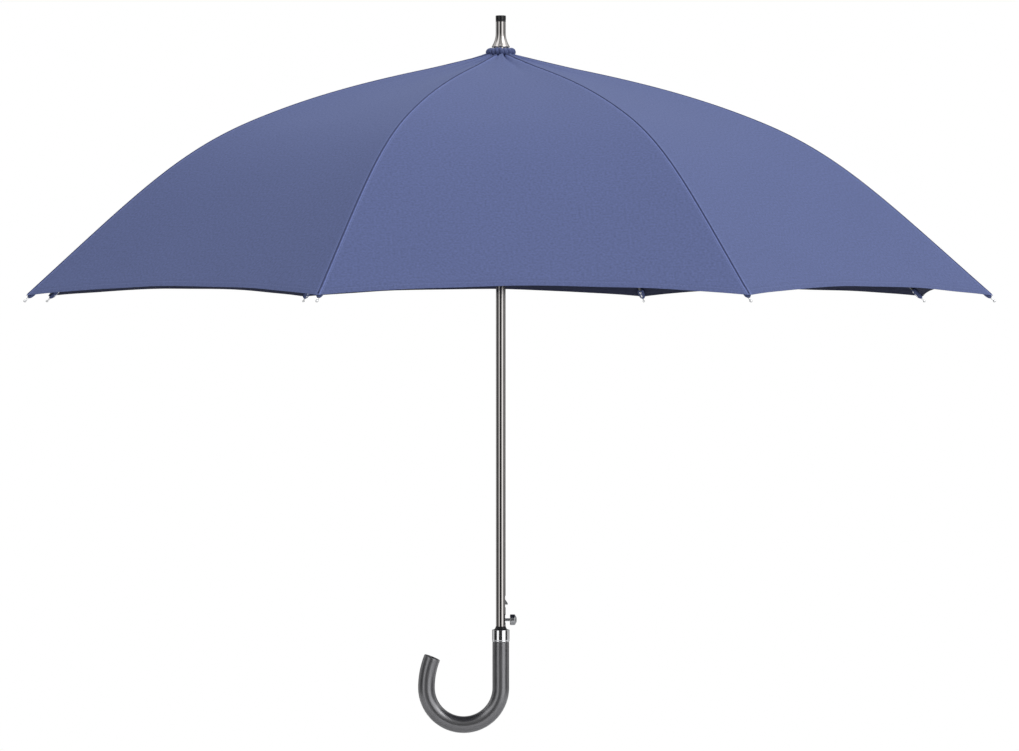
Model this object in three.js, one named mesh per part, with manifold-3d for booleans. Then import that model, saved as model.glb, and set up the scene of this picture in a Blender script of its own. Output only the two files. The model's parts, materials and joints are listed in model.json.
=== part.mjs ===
// Stick umbrella, drawn open. Millimetres, +Z up the shaft, origin in the middle of the hand grip.
// The crook points to -X, the release button to +X, and rib 1 stands just left of the front (-Y).
import * as THREE from "three";
import { mergeVertices } from "three/addons/utils/BufferGeometryUtils.js";
import Module from "manifold-3d";

const wasm = await Module();
wasm.setup();

// Driving dimensions
const GAP = 0.35;
const RIBS = 8;
const PITCH = (2 * Math.PI) / RIBS;
const FIRST_RIB = THREE.MathUtils.degToRad(-108.66);

// Frame linkage: the inner rib and the stretcher are equally long, so the knee closes on the shaft.
const HINGE_R = 10;
const NOTCH_Z = 616;
const LINK = 269;
const OPEN_ANGLE = THREE.MathUtils.degToRad(75.1);
const TIP_R = 510.6;
const TIP_Z = 370;
const KNEE_R = HINGE_R + LINK * Math.sin(OPEN_ANGLE);
const KNEE_Z = NOTCH_Z - LINK * Math.cos(OPEN_ANGLE);
const RUNNER_Z = NOTCH_Z - 2 * LINK * Math.cos(OPEN_ANGLE);
const CROWN_SLOPE = THREE.MathUtils.degToRad(10.5);
const KNEE_SLOPE = THREE.MathUtils.degToRad(22);
const TIP_SLOPE = THREE.MathUtils.degToRad(41);
// How far each end of a rib half holds its slope, as a share of the chord
const INNER_REACH = [0.5, 0.24];
const OUTER_REACH = [0.3, 0.5];

// Rib and stretcher sections
const INNER_RIB = { depth: 3.2, width: 3.2, channelWidth: 1.4, channelDepth: 1.5 };
const OUTER_RIB = { depth: 2.6, width: 2.4, tongue: 1.4 };
const STAY = { kneeR: 2.2, runnerR: 1, width: 2.6, forkWidth: 5, forkSlot: 3.8, forkLength: 30 };
const KNEE_PIN_R = 0.8;
const KNEE_PLAY = 0.3;
const NOTCH_WIRE = 0.5;
const RUNNER_WIRE = 0.45;
const RUNNER_HINGE_R = 8.1;
const TIP_SOCKET = { length: 19, sides: 6 };

// Canopy skin, above the ribs
const SKIN_LIFT = 3;
const SKIN_THICK = 0.4;
const SKIN_INNER_R = 13;
const SKIN_OUTER_R = 503;
const HEM_RISE = 13;
const STRAP = { rib: 5, start: 0.36, end: 0.8, width: 22, thick: 1 };

// Shaft, crown fittings and runner
const SHAFT_R = 4.95;
const BORE_R = 4.1;
const SHAFT_TOP = 636;
const SHAFT_FOOT = -18;
const FIT_R = SHAFT_R + GAP;
const FERRULE_FOOT = 629.3;
const FERRULE_TOP = 655.6;
const CAP_TOP = 661.7;
const FLARE_R = 9.2;
const TIP_TUBE_R = 5.1;
const SLEEVE_R = 7;
const CROWN_R = 12;
const RUNNER_FOOT = RUNNER_Z - 22;
const RUNNER_TOP = RUNNER_Z + 46;
const DRIVE_PIN_Z = RUNNER_Z + 40;
const DRIVE_PIN_R = 1.2;
const SLOT = { halfWidth: 1.6, foot: 112, top: DRIVE_PIN_Z + 7 };
const SPRING = { coilR: 3.1, wire: 0.45, turns: 16 };

// Handle and catch
const GRIP_R = 8.5;
const COLLAR_TOP = 35.2;
const COLLAR_FOOT = 23.2;
const CROOK_R = 38;
const CROOK_Z = -24;
const CURL_R = 83;
const CURL_TURN = THREE.MathUtils.degToRad(22);
const CATCH_PIVOT_Z = 29;
const CATCH_PIN_R = 0.9;
const LEVER_WIDTH = 2.4;
const END_WALL = 1.6;
const END_CAP_DEPTH = 4.5;
const END_CAP_SUNK = 1.2;
const BUTTON_Z = 45.4;
const HOOK_Z = 61;
const SEAT_Z = 70.5;
const SEAT_TOP = 74;

// Finishes
const finish = (color, roughness, metalness) =>
  new THREE.MeshStandardMaterial({ color, roughness, metalness });
const DARK_CHROME = () => finish(0x4a4d50, 0.18, 1);
const CHROME = () => finish(0xc9cccf, 0.12, 1);
const STEEL = () => finish(0x8f9296, 0.35, 1);
const RIB_STEEL = () => finish(0x3a3c40, 0.4, 0.9);
const SOFT_GREY = () => finish(0x55585c, 0.42, 0.35);
const BLACK_PLASTIC = () => finish(0x17181a, 0.5, 0);
const NAVY = () => finish(0x5c678f, 0.9, 0);

// Solid helpers
const toSolid = (geometry) => {
  const bare = (geometry.index ? geometry.toNonIndexed() : geometry).clone();
  bare.deleteAttribute("normal");
  bare.deleteAttribute("uv");
  const merged = mergeVertices(bare, 1e-4);
  return new wasm.Manifold(
    new wasm.Mesh({
      numProp: 3,
      vertProperties: merged.attributes.position.array,
      triVerts: new Uint32Array(merged.index.array),
    }),
  );
};

const toGeometry = (solid) => {
  const mesh = solid.getMesh();
  const geometry = new THREE.BufferGeometry();
  geometry.setAttribute("position", new THREE.BufferAttribute(mesh.vertProperties, 3));
  geometry.setIndex(new THREE.BufferAttribute(mesh.triVerts, 1));
  const flat = geometry.toNonIndexed();
  flat.computeVertexNormals();
  return flat;
};

const join = (...geometries) => toGeometry(geometries.map(toSolid).reduce((a, b) => a.add(b)));
const cut = (body, ...tools) =>
  toGeometry(tools.map(toSolid).reduce((a, b) => a.subtract(b), toSolid(body)));
const common = (a, b) => toGeometry(toSolid(a).intersect(toSolid(b)));

// A plate with its outline in the radius and height plane, as wide as stated across the rib.
const plate = (outline, width) =>
  new THREE.ExtrudeGeometry(outline, { depth: width, bevelEnabled: false, curveSegments: 5 })
    .translate(0, 0, -width / 2)
    .rotateX(Math.PI / 2);

// A solid turned around the shaft; the profile is a list of [radius, height] going up its outside.
const turned = (profile, segments = 20) =>
  new THREE.LatheGeometry(profile.map(([r, z]) => new THREE.Vector2(r, z)), segments).rotateX(
    Math.PI / 2,
  );

const box = (x0, x1, y0, y1, z0, z1) =>
  new THREE.BoxGeometry(x1 - x0, y1 - y0, z1 - z0).translate(
    (x0 + x1) / 2,
    (y0 + y1) / 2,
    (z0 + z1) / 2,
  );

// A round bar from a point along a direction.
const bar = (radius, from, to, sides = 12) => {
  const axis = new THREE.Vector3().subVectors(to, from);
  const turn = new THREE.Quaternion().setFromUnitVectors(
    new THREE.Vector3(0, 1, 0),
    axis.clone().normalize(),
  );
  const middle = from.clone().add(to).multiplyScalar(0.5);
  return new THREE.CylinderGeometry(radius, radius, axis.length(), sides)
    .applyQuaternion(turn)
    .translate(middle.x, middle.y, middle.z);
};

const disc = (r, z, radius) => new THREE.Shape().absarc(r, z, radius, 0, 2 * Math.PI);

const ring = (inner, outer, foot, top) =>
  turned([[inner, foot], [outer, foot], [outer, top], [inner, top], [inner, foot]]);

// Rib centrelines in the radius and height plane
const ribPart = (from, to, startSlope, endSlope, startReach, endReach) => {
  const chord = from.distanceTo(to);
  return new THREE.CubicBezierCurve(
    from,
    new THREE.Vector2(
      from.x + startReach * chord * Math.cos(startSlope),
      from.y - startReach * chord * Math.sin(startSlope),
    ),
    new THREE.Vector2(
      to.x - endReach * chord * Math.cos(endSlope),
      to.y + endReach * chord * Math.sin(endSlope),
    ),
    to,
  );
};
const NOTCH = new THREE.Vector2(HINGE_R, NOTCH_Z);
const KNEE = new THREE.Vector2(KNEE_R, KNEE_Z);
const TIP = new THREE.Vector2(TIP_R, TIP_Z);
const innerLine = ribPart(NOTCH, KNEE, CROWN_SLOPE, KNEE_SLOPE, ...INNER_REACH);
const outerLine = ribPart(KNEE, TIP, KNEE_SLOPE, TIP_SLOPE, ...OUTER_REACH);

const offsetPoint = (line, t, lift) => {
  const along = line.getTangent(t);
  return line.getPoint(t).add(new THREE.Vector2(-along.y, along.x).multiplyScalar(lift));
};

// The outline between two offsets of a centreline, from share t0 to share t1 of it.
const strip = (line, low, high, t0, t1, steps) => {
  const shares = Array.from({ length: steps + 1 }, (_, k) => t0 + ((t1 - t0) * k) / steps);
  const under = shares.map((t) => offsetPoint(line, t, low));
  const over = shares.map((t) => offsetPoint(line, t, high)).reverse();
  return new THREE.Shape([...under, ...over]);
};

const crossBar = (point, radius, halfWidth) =>
  bar(
    radius,
    new THREE.Vector3(point.x, -halfWidth, point.y),
    new THREE.Vector3(point.x, halfWidth, point.y),
    10,
  );

// Inner rib: a channel section, with an eye on the notch wire and a fork and pin at the knee.
function innerRib() {
  const half = INNER_RIB.depth / 2;
  const reach = 7 / LINK;
  const body = join(
    plate(strip(innerLine, -half, half, 0, 1, 6), INNER_RIB.width),
    plate(disc(NOTCH.x, NOTCH.y, half), INNER_RIB.width),
    plate(disc(KNEE.x, KNEE.y, half + 0.2), INNER_RIB.width),
  );
  const channelFloor = INNER_RIB.channelDepth - half;
  const channel = strip(innerLine, -half - 1, channelFloor, 5 * reach, 1 - 3 * reach, 5);
  const fork = strip(innerLine, -half - 1, half + 1, 1 - reach, 1, 1);
  const forked = cut(
    body,
    crossBar(NOTCH, NOTCH_WIRE + GAP, INNER_RIB.width),
    plate(channel, INNER_RIB.channelWidth),
    plate(fork, OUTER_RIB.tongue + 2 * GAP),
    plate(disc(KNEE.x, KNEE.y, half + 1), OUTER_RIB.tongue + 2 * GAP),
  );
  return join(forked, crossBar(KNEE, KNEE_PIN_R, STAY.forkWidth / 2));
}

// Outer rib: a springy rod, with a flat tongue that turns on the knee pin.
function outerRib() {
  const half = OUTER_RIB.depth / 2;
  const rodStart = 0.014;
  const rodEnd = 0.966;
  return cut(
    join(
      plate(strip(outerLine, -half, half, rodStart, rodEnd, 8), OUTER_RIB.width),
      plate(strip(outerLine, -half, half, 0, 0.03, 2), OUTER_RIB.tongue),
      plate(disc(KNEE.x, KNEE.y, 1.5), OUTER_RIB.tongue),
    ),
    crossBar(KNEE, KNEE_PIN_R + KNEE_PLAY, OUTER_RIB.width),
  );
}

// Rib tip: a socket over the rod's end, a stem and a small ball.
function ribTip() {
  const along = outerLine.getTangent(1);
  const { length, sides } = TIP_SOCKET;
  const sleeve = turned(
    [
      [1.95, -length],
      [2.5, -length],
      [2.6, -12],
      [1.6, -8.2],
      [0.9, -8],
      [0.9, -9],
      [1.95, -9.6],
      [1.95, -length],
    ],
    sides,
  );
  const stem = turned([[0, -9], [1.1, -9], [1.1, -3], [1.8, -1.8], [1.2, -0.4], [0, 0]], sides);
  return join(sleeve, stem)
    .rotateY(Math.PI / 2 - Math.atan2(along.y, along.x))
    .translate(TIP.x, 0, TIP.y);
}

// Stretcher: a stay from the knee to the runner, with a fork that straddles the rib.
function stretcher() {
  const toRunner = new THREE.Vector2(HINGE_R - KNEE_R, RUNNER_Z - KNEE_Z).normalize();
  const at = (d, lift) =>
    new THREE.Vector2(
      KNEE.x + toRunner.x * d + toRunner.y * lift,
      KNEE.y + toRunner.y * d - toRunner.x * lift,
    );
  const taper = (d) => STAY.kneeR + ((STAY.runnerR - STAY.kneeR) * d) / LINK;
  const link = (d0, d1) =>
    new THREE.Shape([at(d0, -taper(d0)), at(d0, taper(d0)), at(d1, taper(d1)), at(d1, -taper(d1))]);
  const channel = new THREE.Shape([
    at(STAY.forkLength + 12, -3),
    at(STAY.forkLength + 12, -0.2),
    at(LINK - 26, -0.2),
    at(LINK - 26, -3),
  ]);
  const slot = new THREE.Shape([
    at(-5, -4),
    at(-5, 4),
    at(STAY.forkLength - 6, 4),
    at(STAY.forkLength - 6, -4),
  ]);
  return cut(
    join(
      plate(link(STAY.forkLength - 10, LINK - 1), STAY.width),
      plate(link(0, STAY.forkLength), STAY.forkWidth),
      plate(disc(KNEE.x, KNEE.y, STAY.kneeR), STAY.forkWidth),
    ),
    plate(slot, STAY.forkSlot),
    plate(channel, 1.2),
    crossBar(KNEE, KNEE_PIN_R + KNEE_PLAY, STAY.forkWidth),
  );
}

// Canopy panel: a strip of skin that runs straight across from rib to rib, with a hollow hem.
function canopyPanel() {
  const chordShare = Math.cos(PITCH / 2);
  const lifted = (line, t, lift) => {
    const p = offsetPoint(line, t, lift);
    return new THREE.Vector2(p.x * chordShare, p.y);
  };
  const rows = [
    ...Array.from({ length: 6 }, (_, k) => [innerLine, k / 6]),
    ...Array.from({ length: 10 }, (_, k) => [outerLine, k / 9]),
  ];
  const under = rows.map(([line, t]) => lifted(line, t, SKIN_LIFT));
  const over = rows.map(([line, t]) => lifted(line, t, SKIN_LIFT + SKIN_THICK)).reverse();
  const skin = plate(new THREE.Shape([...under, ...over]), 2 * TIP_R);
  const halfTurn = PITCH / 2;
  const side = (r, sign) => {
    const x = r * Math.cos(halfTurn) + GAP * 0.5 * Math.sin(halfTurn);
    const y = r * Math.sin(halfTurn) - GAP * 0.5 * Math.cos(halfTurn);
    return new THREE.Vector2(x, sign * y);
  };
  const plan = new THREE.Shape();
  plan.moveTo(side(SKIN_INNER_R, -1).x, side(SKIN_INNER_R, -1).y);
  plan.lineTo(side(SKIN_OUTER_R, -1).x, side(SKIN_OUTER_R, -1).y);
  const hemEnd = side(SKIN_OUTER_R, 1);
  plan.quadraticCurveTo(hemEnd.x - 2 * HEM_RISE, 0, hemEnd.x, hemEnd.y);
  plan.lineTo(side(SKIN_INNER_R, 1).x, side(SKIN_INNER_R, 1).y);
  plan.closePath();
  const prism = new THREE.ExtrudeGeometry(plan, {
    depth: NOTCH_Z - TIP_Z + 40,
    bevelEnabled: false,
    curveSegments: 8,
  }).translate(0, 0, TIP_Z - 20);
  return common(skin, prism);
}

// Tie strap: a short band that lies over the seam on one rear rib.
function tieStrap() {
  const steps = 8;
  const floor = SKIN_LIFT + SKIN_THICK + GAP;
  const band = strip(outerLine, floor, floor + STRAP.thick, STRAP.start, STRAP.end, steps);
  return plate(band, STRAP.width);
}

// Shaft: a tube with a long slot at the back for the drive pin, and two windows for the catch.
function shaft() {
  const outside = SHAFT_R + 1;
  return cut(
    ring(BORE_R, SHAFT_R, SHAFT_FOOT, SHAFT_TOP),
    box(-SLOT.halfWidth, SLOT.halfWidth, 0, outside, SLOT.foot, SLOT.top),
    box(0, outside, -2, 2, HOOK_Z - 3, HOOK_Z + 9),
    box(0, outside, -2.2, 2.2, BUTTON_Z - 3, BUTTON_Z + 5),
    crossBar(new THREE.Vector2(0, CATCH_PIVOT_Z), CATCH_PIN_R + 0.25, outside),
  );
}

// Ferrule: a tube that bells out over the crown, with a stub that holds the end cap.
function ferrule() {
  const stubR = 2.6;
  return turned([
    [FIT_R, FERRULE_FOOT],
    [FLARE_R, FERRULE_FOOT],
    [FLARE_R - 0.2, FERRULE_FOOT + 0.8],
    [7.7, FERRULE_FOOT + 3],
    [6.7, FERRULE_FOOT + 6],
    [6, FERRULE_FOOT + 9],
    [5.5, FERRULE_FOOT + 12],
    [TIP_TUBE_R, FERRULE_FOOT + 14.7],
    [TIP_TUBE_R, FERRULE_TOP - 0.4],
    [stubR, FERRULE_TOP - 0.4],
    [stubR, FERRULE_TOP + 3],
    [0, FERRULE_TOP + 3],
    [0, SHAFT_TOP + GAP],
    [FIT_R, SHAFT_TOP + GAP],
    [FIT_R, FERRULE_FOOT],
  ]);
}

function ferruleCap() {
  return turned([
    [3, FERRULE_TOP],
    [5.15, FERRULE_TOP],
    [5.15, CAP_TOP - 1],
    [4.2, CAP_TOP],
    [0, CAP_TOP],
    [0, FERRULE_TOP + 3.4],
    [3, FERRULE_TOP + 3.4],
    [3, FERRULE_TOP],
  ]);
}

function crownRosette() {
  return turned([
    [FIT_R, 620.4],
    [11, 620.1],
    [14.6, 620.6],
    [14.8, 622.4],
    [12.6, 624.6],
    [13.4, 627],
    [11.4, 628.8],
    [FIT_R, 628.8],
    [FIT_R, 620.4],
  ]);
}

// Eight open slots, one for each rib or stretcher, from a root radius outwards.
const ribSlots = (rootR, outerR, width, foot, top) =>
  Array.from({ length: RIBS }, (_, k) =>
    box(rootR, outerR, -width / 2, width / 2, foot, top).rotateZ(FIRST_RIB + k * PITCH),
  );

function topNotch() {
  const foot = NOTCH_Z - 7;
  const top = NOTCH_Z + 1.8;
  const floor = NOTCH_Z - 0.9;
  const crown = turned([
    [FIT_R, foot],
    [9.4, foot],
    [CROWN_R, foot + 3],
    [CROWN_R, top],
    [HINGE_R + 0.9, top],
    [HINGE_R + 0.9, floor],
    [HINGE_R - 0.9, floor],
    [HINGE_R - 0.9, top],
    [FIT_R, top],
    [FIT_R, foot],
  ]);
  return cut(crown, ...ribSlots(8, CROWN_R + 1, INNER_RIB.width + 0.7, foot - 1, top + 1));
}

const wireRing = (radius, wire, z) => {
  const sides = 6;
  const section = Array.from({ length: sides + 1 }, (_, k) => {
    const turn = (2 * Math.PI * k) / sides;
    return [radius + wire * Math.cos(turn), z + wire * Math.sin(turn)];
  });
  return turned(section, 20);
};

// Runner: a sleeve with a slotted crown, a window for the catch and a hole for the drive pin.
function runner() {
  const wireR = RUNNER_HINGE_R;
  const grooveHalf = 0.8;
  const crownHalf = 4.5;
  const body = turned([
    [FIT_R, RUNNER_FOOT],
    [SLEEVE_R, RUNNER_FOOT],
    [SLEEVE_R, RUNNER_Z - crownHalf],
    [CROWN_R - 1, RUNNER_Z - crownHalf],
    [CROWN_R, RUNNER_Z - crownHalf + 1],
    [CROWN_R, RUNNER_Z + crownHalf],
    [wireR + grooveHalf, RUNNER_Z + crownHalf],
    [wireR + grooveHalf, RUNNER_Z - grooveHalf],
    [wireR - grooveHalf, RUNNER_Z - grooveHalf],
    [wireR - grooveHalf, RUNNER_Z + crownHalf],
    [SLEEVE_R, RUNNER_Z + crownHalf],
    [SLEEVE_R, RUNNER_TOP - 1],
    [SLEEVE_R - 0.6, RUNNER_TOP],
    [FIT_R, RUNNER_TOP],
    [FIT_R, RUNNER_FOOT],
  ]);
  const pinHole = bar(
    DRIVE_PIN_R + 0.3,
    new THREE.Vector3(0, 0, DRIVE_PIN_Z),
    new THREE.Vector3(0, SLEEVE_R + 2, DRIVE_PIN_Z),
  );
  return cut(
    body,
    ...ribSlots(7.3, CROWN_R + 1, STAY.width + 0.7, RUNNER_Z - 6, RUNNER_Z + 6),
    box(0, SLEEVE_R + 1, -2.2, 2.2, RUNNER_FOOT + 4.1, RUNNER_FOOT + 12),
    pinHole,
  );
}

const drivePin = () =>
  bar(
    DRIVE_PIN_R,
    new THREE.Vector3(0, -2.6, DRIVE_PIN_Z),
    new THREE.Vector3(0, SLEEVE_R - 0.2, DRIVE_PIN_Z),
  );

const runnerStop = () => ring(FIT_R, 7.2, RUNNER_TOP + GAP, RUNNER_TOP + GAP + 6);
const springSeat = () =>
  turned([[0, SEAT_Z], [3.75, SEAT_Z], [3.75, SEAT_TOP], [0, SEAT_TOP]], 16);

// Opening spring: an evenly wound coil from its seat up to the drive pin.
class Coil extends THREE.Curve {
  constructor(radius, foot, top, turns) {
    super();
    Object.assign(this, { radius, foot, top, turns });
  }
  getPoint(t, target = new THREE.Vector3()) {
    const turn = 2 * Math.PI * this.turns * t;
    return target.set(
      this.radius * Math.cos(turn),
      this.radius * Math.sin(turn),
      this.foot + (this.top - this.foot) * t,
    );
  }
}

function openingSpring() {
  const stepsPerTurn = 6;
  const rest = 2 * SPRING.wire;
  const coil = new Coil(
    SPRING.coilR,
    SEAT_TOP + rest,
    DRIVE_PIN_Z - DRIVE_PIN_R - rest,
    SPRING.turns,
  );
  return new THREE.ExtrudeGeometry(
    new THREE.Shape().absarc(0, 0, SPRING.wire, 0, 2 * Math.PI),
    { extrudePath: coil, steps: SPRING.turns * stepsPerTurn, curveSegments: 2 },
  );
}

// Grip: a straight tube that turns through a half circle and then curls slowly inwards.
class Crook extends THREE.Curve {
  getPoint(t, target = new THREE.Vector3()) {
    const straight = COLLAR_FOOT - GAP - CROOK_Z;
    const half = Math.PI * CROOK_R;
    const along = t * (straight + half + CURL_TURN * CURL_R);
    if (along < straight) {
      return target.set(0, 0, COLLAR_FOOT - GAP - along);
    }
    if (along < straight + half) {
      const turn = (along - straight) / CROOK_R;
      return target.set(
        CROOK_R * (Math.cos(turn) - 1),
        0,
        CROOK_Z - CROOK_R * Math.sin(turn),
      );
    }
    const curl = (along - straight - half) / CURL_R;
    return target.set(
      -2 * CROOK_R + CURL_R * (1 - Math.cos(curl)),
      0,
      CROOK_Z + CURL_R * Math.sin(curl),
    );
  }
}
const crook = new Crook();
const crookEnd = crook.getPoint(1);
const crookWay = new THREE.Vector3(Math.sin(CURL_TURN), 0, Math.cos(CURL_TURN));
const beyondEnd = (distance) => crookEnd.clone().addScaledVector(crookWay, distance);

function handle() {
  const tube = new THREE.ExtrudeGeometry(
    new THREE.Shape().absarc(0, 0, GRIP_R, 0, 2 * Math.PI),
    { extrudePath: crook, steps: 24, curveSegments: 8 },
  );
  const shaftHole = turned([
    [0, SHAFT_FOOT - 1],
    [FIT_R, SHAFT_FOOT - 1],
    [FIT_R, COLLAR_FOOT + 1],
    [0, COLLAR_FOOT + 1],
  ]);
  const endHole = bar(GRIP_R - END_WALL, beyondEnd(-END_CAP_DEPTH - 0.5), beyondEnd(3), 20);
  return cut(tube, shaftHole, endHole);
}

const handleEndCap = () =>
  bar(GRIP_R - END_WALL - 0.4, beyondEnd(-END_CAP_DEPTH), beyondEnd(-END_CAP_SUNK), 20);

const handleCollar = () =>
  turned([
    [FIT_R, COLLAR_FOOT],
    [8.9, COLLAR_FOOT],
    [8.9, COLLAR_TOP - 0.8],
    [8.2, COLLAR_TOP],
    [6.6, COLLAR_TOP],
    [FIT_R, COLLAR_TOP + 1.8],
    [FIT_R, COLLAR_FOOT],
  ]);

// Catch: a lever on a cross pin inside the shaft; its hook holds the closed runner.
function catchLever() {
  const outline = new THREE.Shape([
    new THREE.Vector2(-2.2, CATCH_PIVOT_Z - 2),
    new THREE.Vector2(2.2, CATCH_PIVOT_Z - 2),
    new THREE.Vector2(3.2, CATCH_PIVOT_Z + 4),
    new THREE.Vector2(3.2, HOOK_Z),
    new THREE.Vector2(7.1, HOOK_Z),
    new THREE.Vector2(7.1, HOOK_Z + 1.2),
    new THREE.Vector2(4.6, HOOK_Z + 5),
    new THREE.Vector2(1, HOOK_Z + 5),
    new THREE.Vector2(1, CATCH_PIVOT_Z + 6),
    new THREE.Vector2(-2.2, CATCH_PIVOT_Z + 2.5),
  ]);
  return cut(
    plate(outline, LEVER_WIDTH),
    crossBar(new THREE.Vector2(0, CATCH_PIVOT_Z), CATCH_PIN_R + 0.3, 3),
  );
}

function releaseButton() {
  const dome = turned(
    [
      [0, 3.6],
      [1.5, 3.6],
      [1.5, 9],
      [4.6, 9.2],
      [5.6, 10.4],
      [5.6, 13.2],
      [4.4, 15.4],
      [2.2, 16.2],
      [0, 16.3],
    ],
    20,
  );
  return dome.rotateY(Math.PI / 2).translate(0, 0, BUTTON_Z);
}

const catchPin = () => crossBar(new THREE.Vector2(0, CATCH_PIVOT_Z), CATCH_PIN_R, SHAFT_R - 0.2);

// Assembly
const umbrella = new THREE.Group();
const add = (name, geometry, material, turn = 0) => {
  const mesh = new THREE.Mesh(geometry, material);
  mesh.name = name;
  mesh.rotation.z = turn;
  umbrella.add(mesh);
};

add("shaft", shaft(), DARK_CHROME());
add("ferrule", ferrule(), DARK_CHROME());
add("ferrule_cap", ferruleCap(), BLACK_PLASTIC());
add("crown_rosette", crownRosette(), NAVY());
add("top_notch", topNotch(), BLACK_PLASTIC());
add("top_notch_wire", wireRing(HINGE_R, NOTCH_WIRE, NOTCH_Z), STEEL());
add("runner_stop", runnerStop(), BLACK_PLASTIC());
add("spring_seat", springSeat(), STEEL());
add("handle", handle(), SOFT_GREY());
add("handle_collar", handleCollar(), CHROME());
add("handle_end_cap", handleEndCap(), BLACK_PLASTIC());
add("catch_pin", catchPin(), STEEL());
add("runner", runner(), BLACK_PLASTIC());
add("runner_wire", wireRing(RUNNER_HINGE_R, RUNNER_WIRE, RUNNER_Z), STEEL());
add("drive_pin", drivePin(), STEEL());
add("catch_lever", catchLever(), STEEL());
add("release_button", releaseButton(), DARK_CHROME());
add("opening_spring", openingSpring(), STEEL());

for (let k = 0; k < RIBS; k += 1) {
  const turn = FIRST_RIB + k * PITCH;
  const middle = turn + PITCH / 2;
  add(`rib_inner_${k + 1}`, innerRib(), RIB_STEEL(), turn);
  add(`rib_outer_${k + 1}`, outerRib(), RIB_STEEL(), turn);
  add(`rib_tip_${k + 1}`, ribTip(), CHROME(), turn);
  add(`stretcher_${k + 1}`, stretcher(), RIB_STEEL(), turn);
  add(`canopy_panel_${k + 1}`, canopyPanel(), NAVY(), middle);
}

add("tie_strap", tieStrap(), NAVY(), FIRST_RIB + (STRAP.rib - 1) * PITCH);

export default umbrella;
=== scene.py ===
"""Stick umbrella: cloth, metal and grip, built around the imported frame.

Lengths are in metres, in the frame's own axes: +Z runs up the shaft, the crook points to -X and the
release button to +X. The canopy is sewn from eight gores; each gore is cut into wings that ride on the
ribs, so that the cloth folds with the frame.
"""

import json
import logging
import math
from dataclasses import dataclass, field, fields
from enum import Enum
from typing import Any, Sequence

import bpy
import numpy as np
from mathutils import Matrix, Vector


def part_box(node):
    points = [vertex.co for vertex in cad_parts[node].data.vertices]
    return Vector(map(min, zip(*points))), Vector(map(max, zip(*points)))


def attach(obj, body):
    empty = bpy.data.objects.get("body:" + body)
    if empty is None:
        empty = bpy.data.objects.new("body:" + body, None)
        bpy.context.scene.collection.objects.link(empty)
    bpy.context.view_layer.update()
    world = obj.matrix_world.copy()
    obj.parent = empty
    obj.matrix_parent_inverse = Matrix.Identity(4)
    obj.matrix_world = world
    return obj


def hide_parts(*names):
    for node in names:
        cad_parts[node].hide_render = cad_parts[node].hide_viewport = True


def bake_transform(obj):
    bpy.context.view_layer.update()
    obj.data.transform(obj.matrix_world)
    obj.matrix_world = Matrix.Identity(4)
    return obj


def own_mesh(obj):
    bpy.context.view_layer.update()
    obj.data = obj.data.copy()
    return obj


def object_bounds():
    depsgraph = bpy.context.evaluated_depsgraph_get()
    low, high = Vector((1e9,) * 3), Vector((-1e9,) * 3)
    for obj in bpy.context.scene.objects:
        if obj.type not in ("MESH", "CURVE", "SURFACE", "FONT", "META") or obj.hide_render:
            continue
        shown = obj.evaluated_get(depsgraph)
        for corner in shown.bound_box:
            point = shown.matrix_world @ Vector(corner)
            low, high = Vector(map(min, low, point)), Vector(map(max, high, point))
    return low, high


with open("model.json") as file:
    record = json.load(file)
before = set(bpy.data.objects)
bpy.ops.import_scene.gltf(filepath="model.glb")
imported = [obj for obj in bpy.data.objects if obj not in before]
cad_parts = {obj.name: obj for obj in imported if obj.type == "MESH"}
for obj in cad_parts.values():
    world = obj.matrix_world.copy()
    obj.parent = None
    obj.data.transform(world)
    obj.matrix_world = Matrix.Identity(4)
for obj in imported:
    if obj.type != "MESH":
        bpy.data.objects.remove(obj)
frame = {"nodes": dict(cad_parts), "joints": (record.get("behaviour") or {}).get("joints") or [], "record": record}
CAD_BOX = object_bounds()
RIBS = 8
UP = np.array([0.0, 0.0, 1.0])

log = logging.getLogger("umbrella")
MM = 0.001
NEEDLE = 0.02 * MM  # the radius that stands for 0 at the end of a turned profile
Number = int | float
Colour = tuple[float, float, float]


# ---------------------------------------------------------------- shader maths


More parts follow.
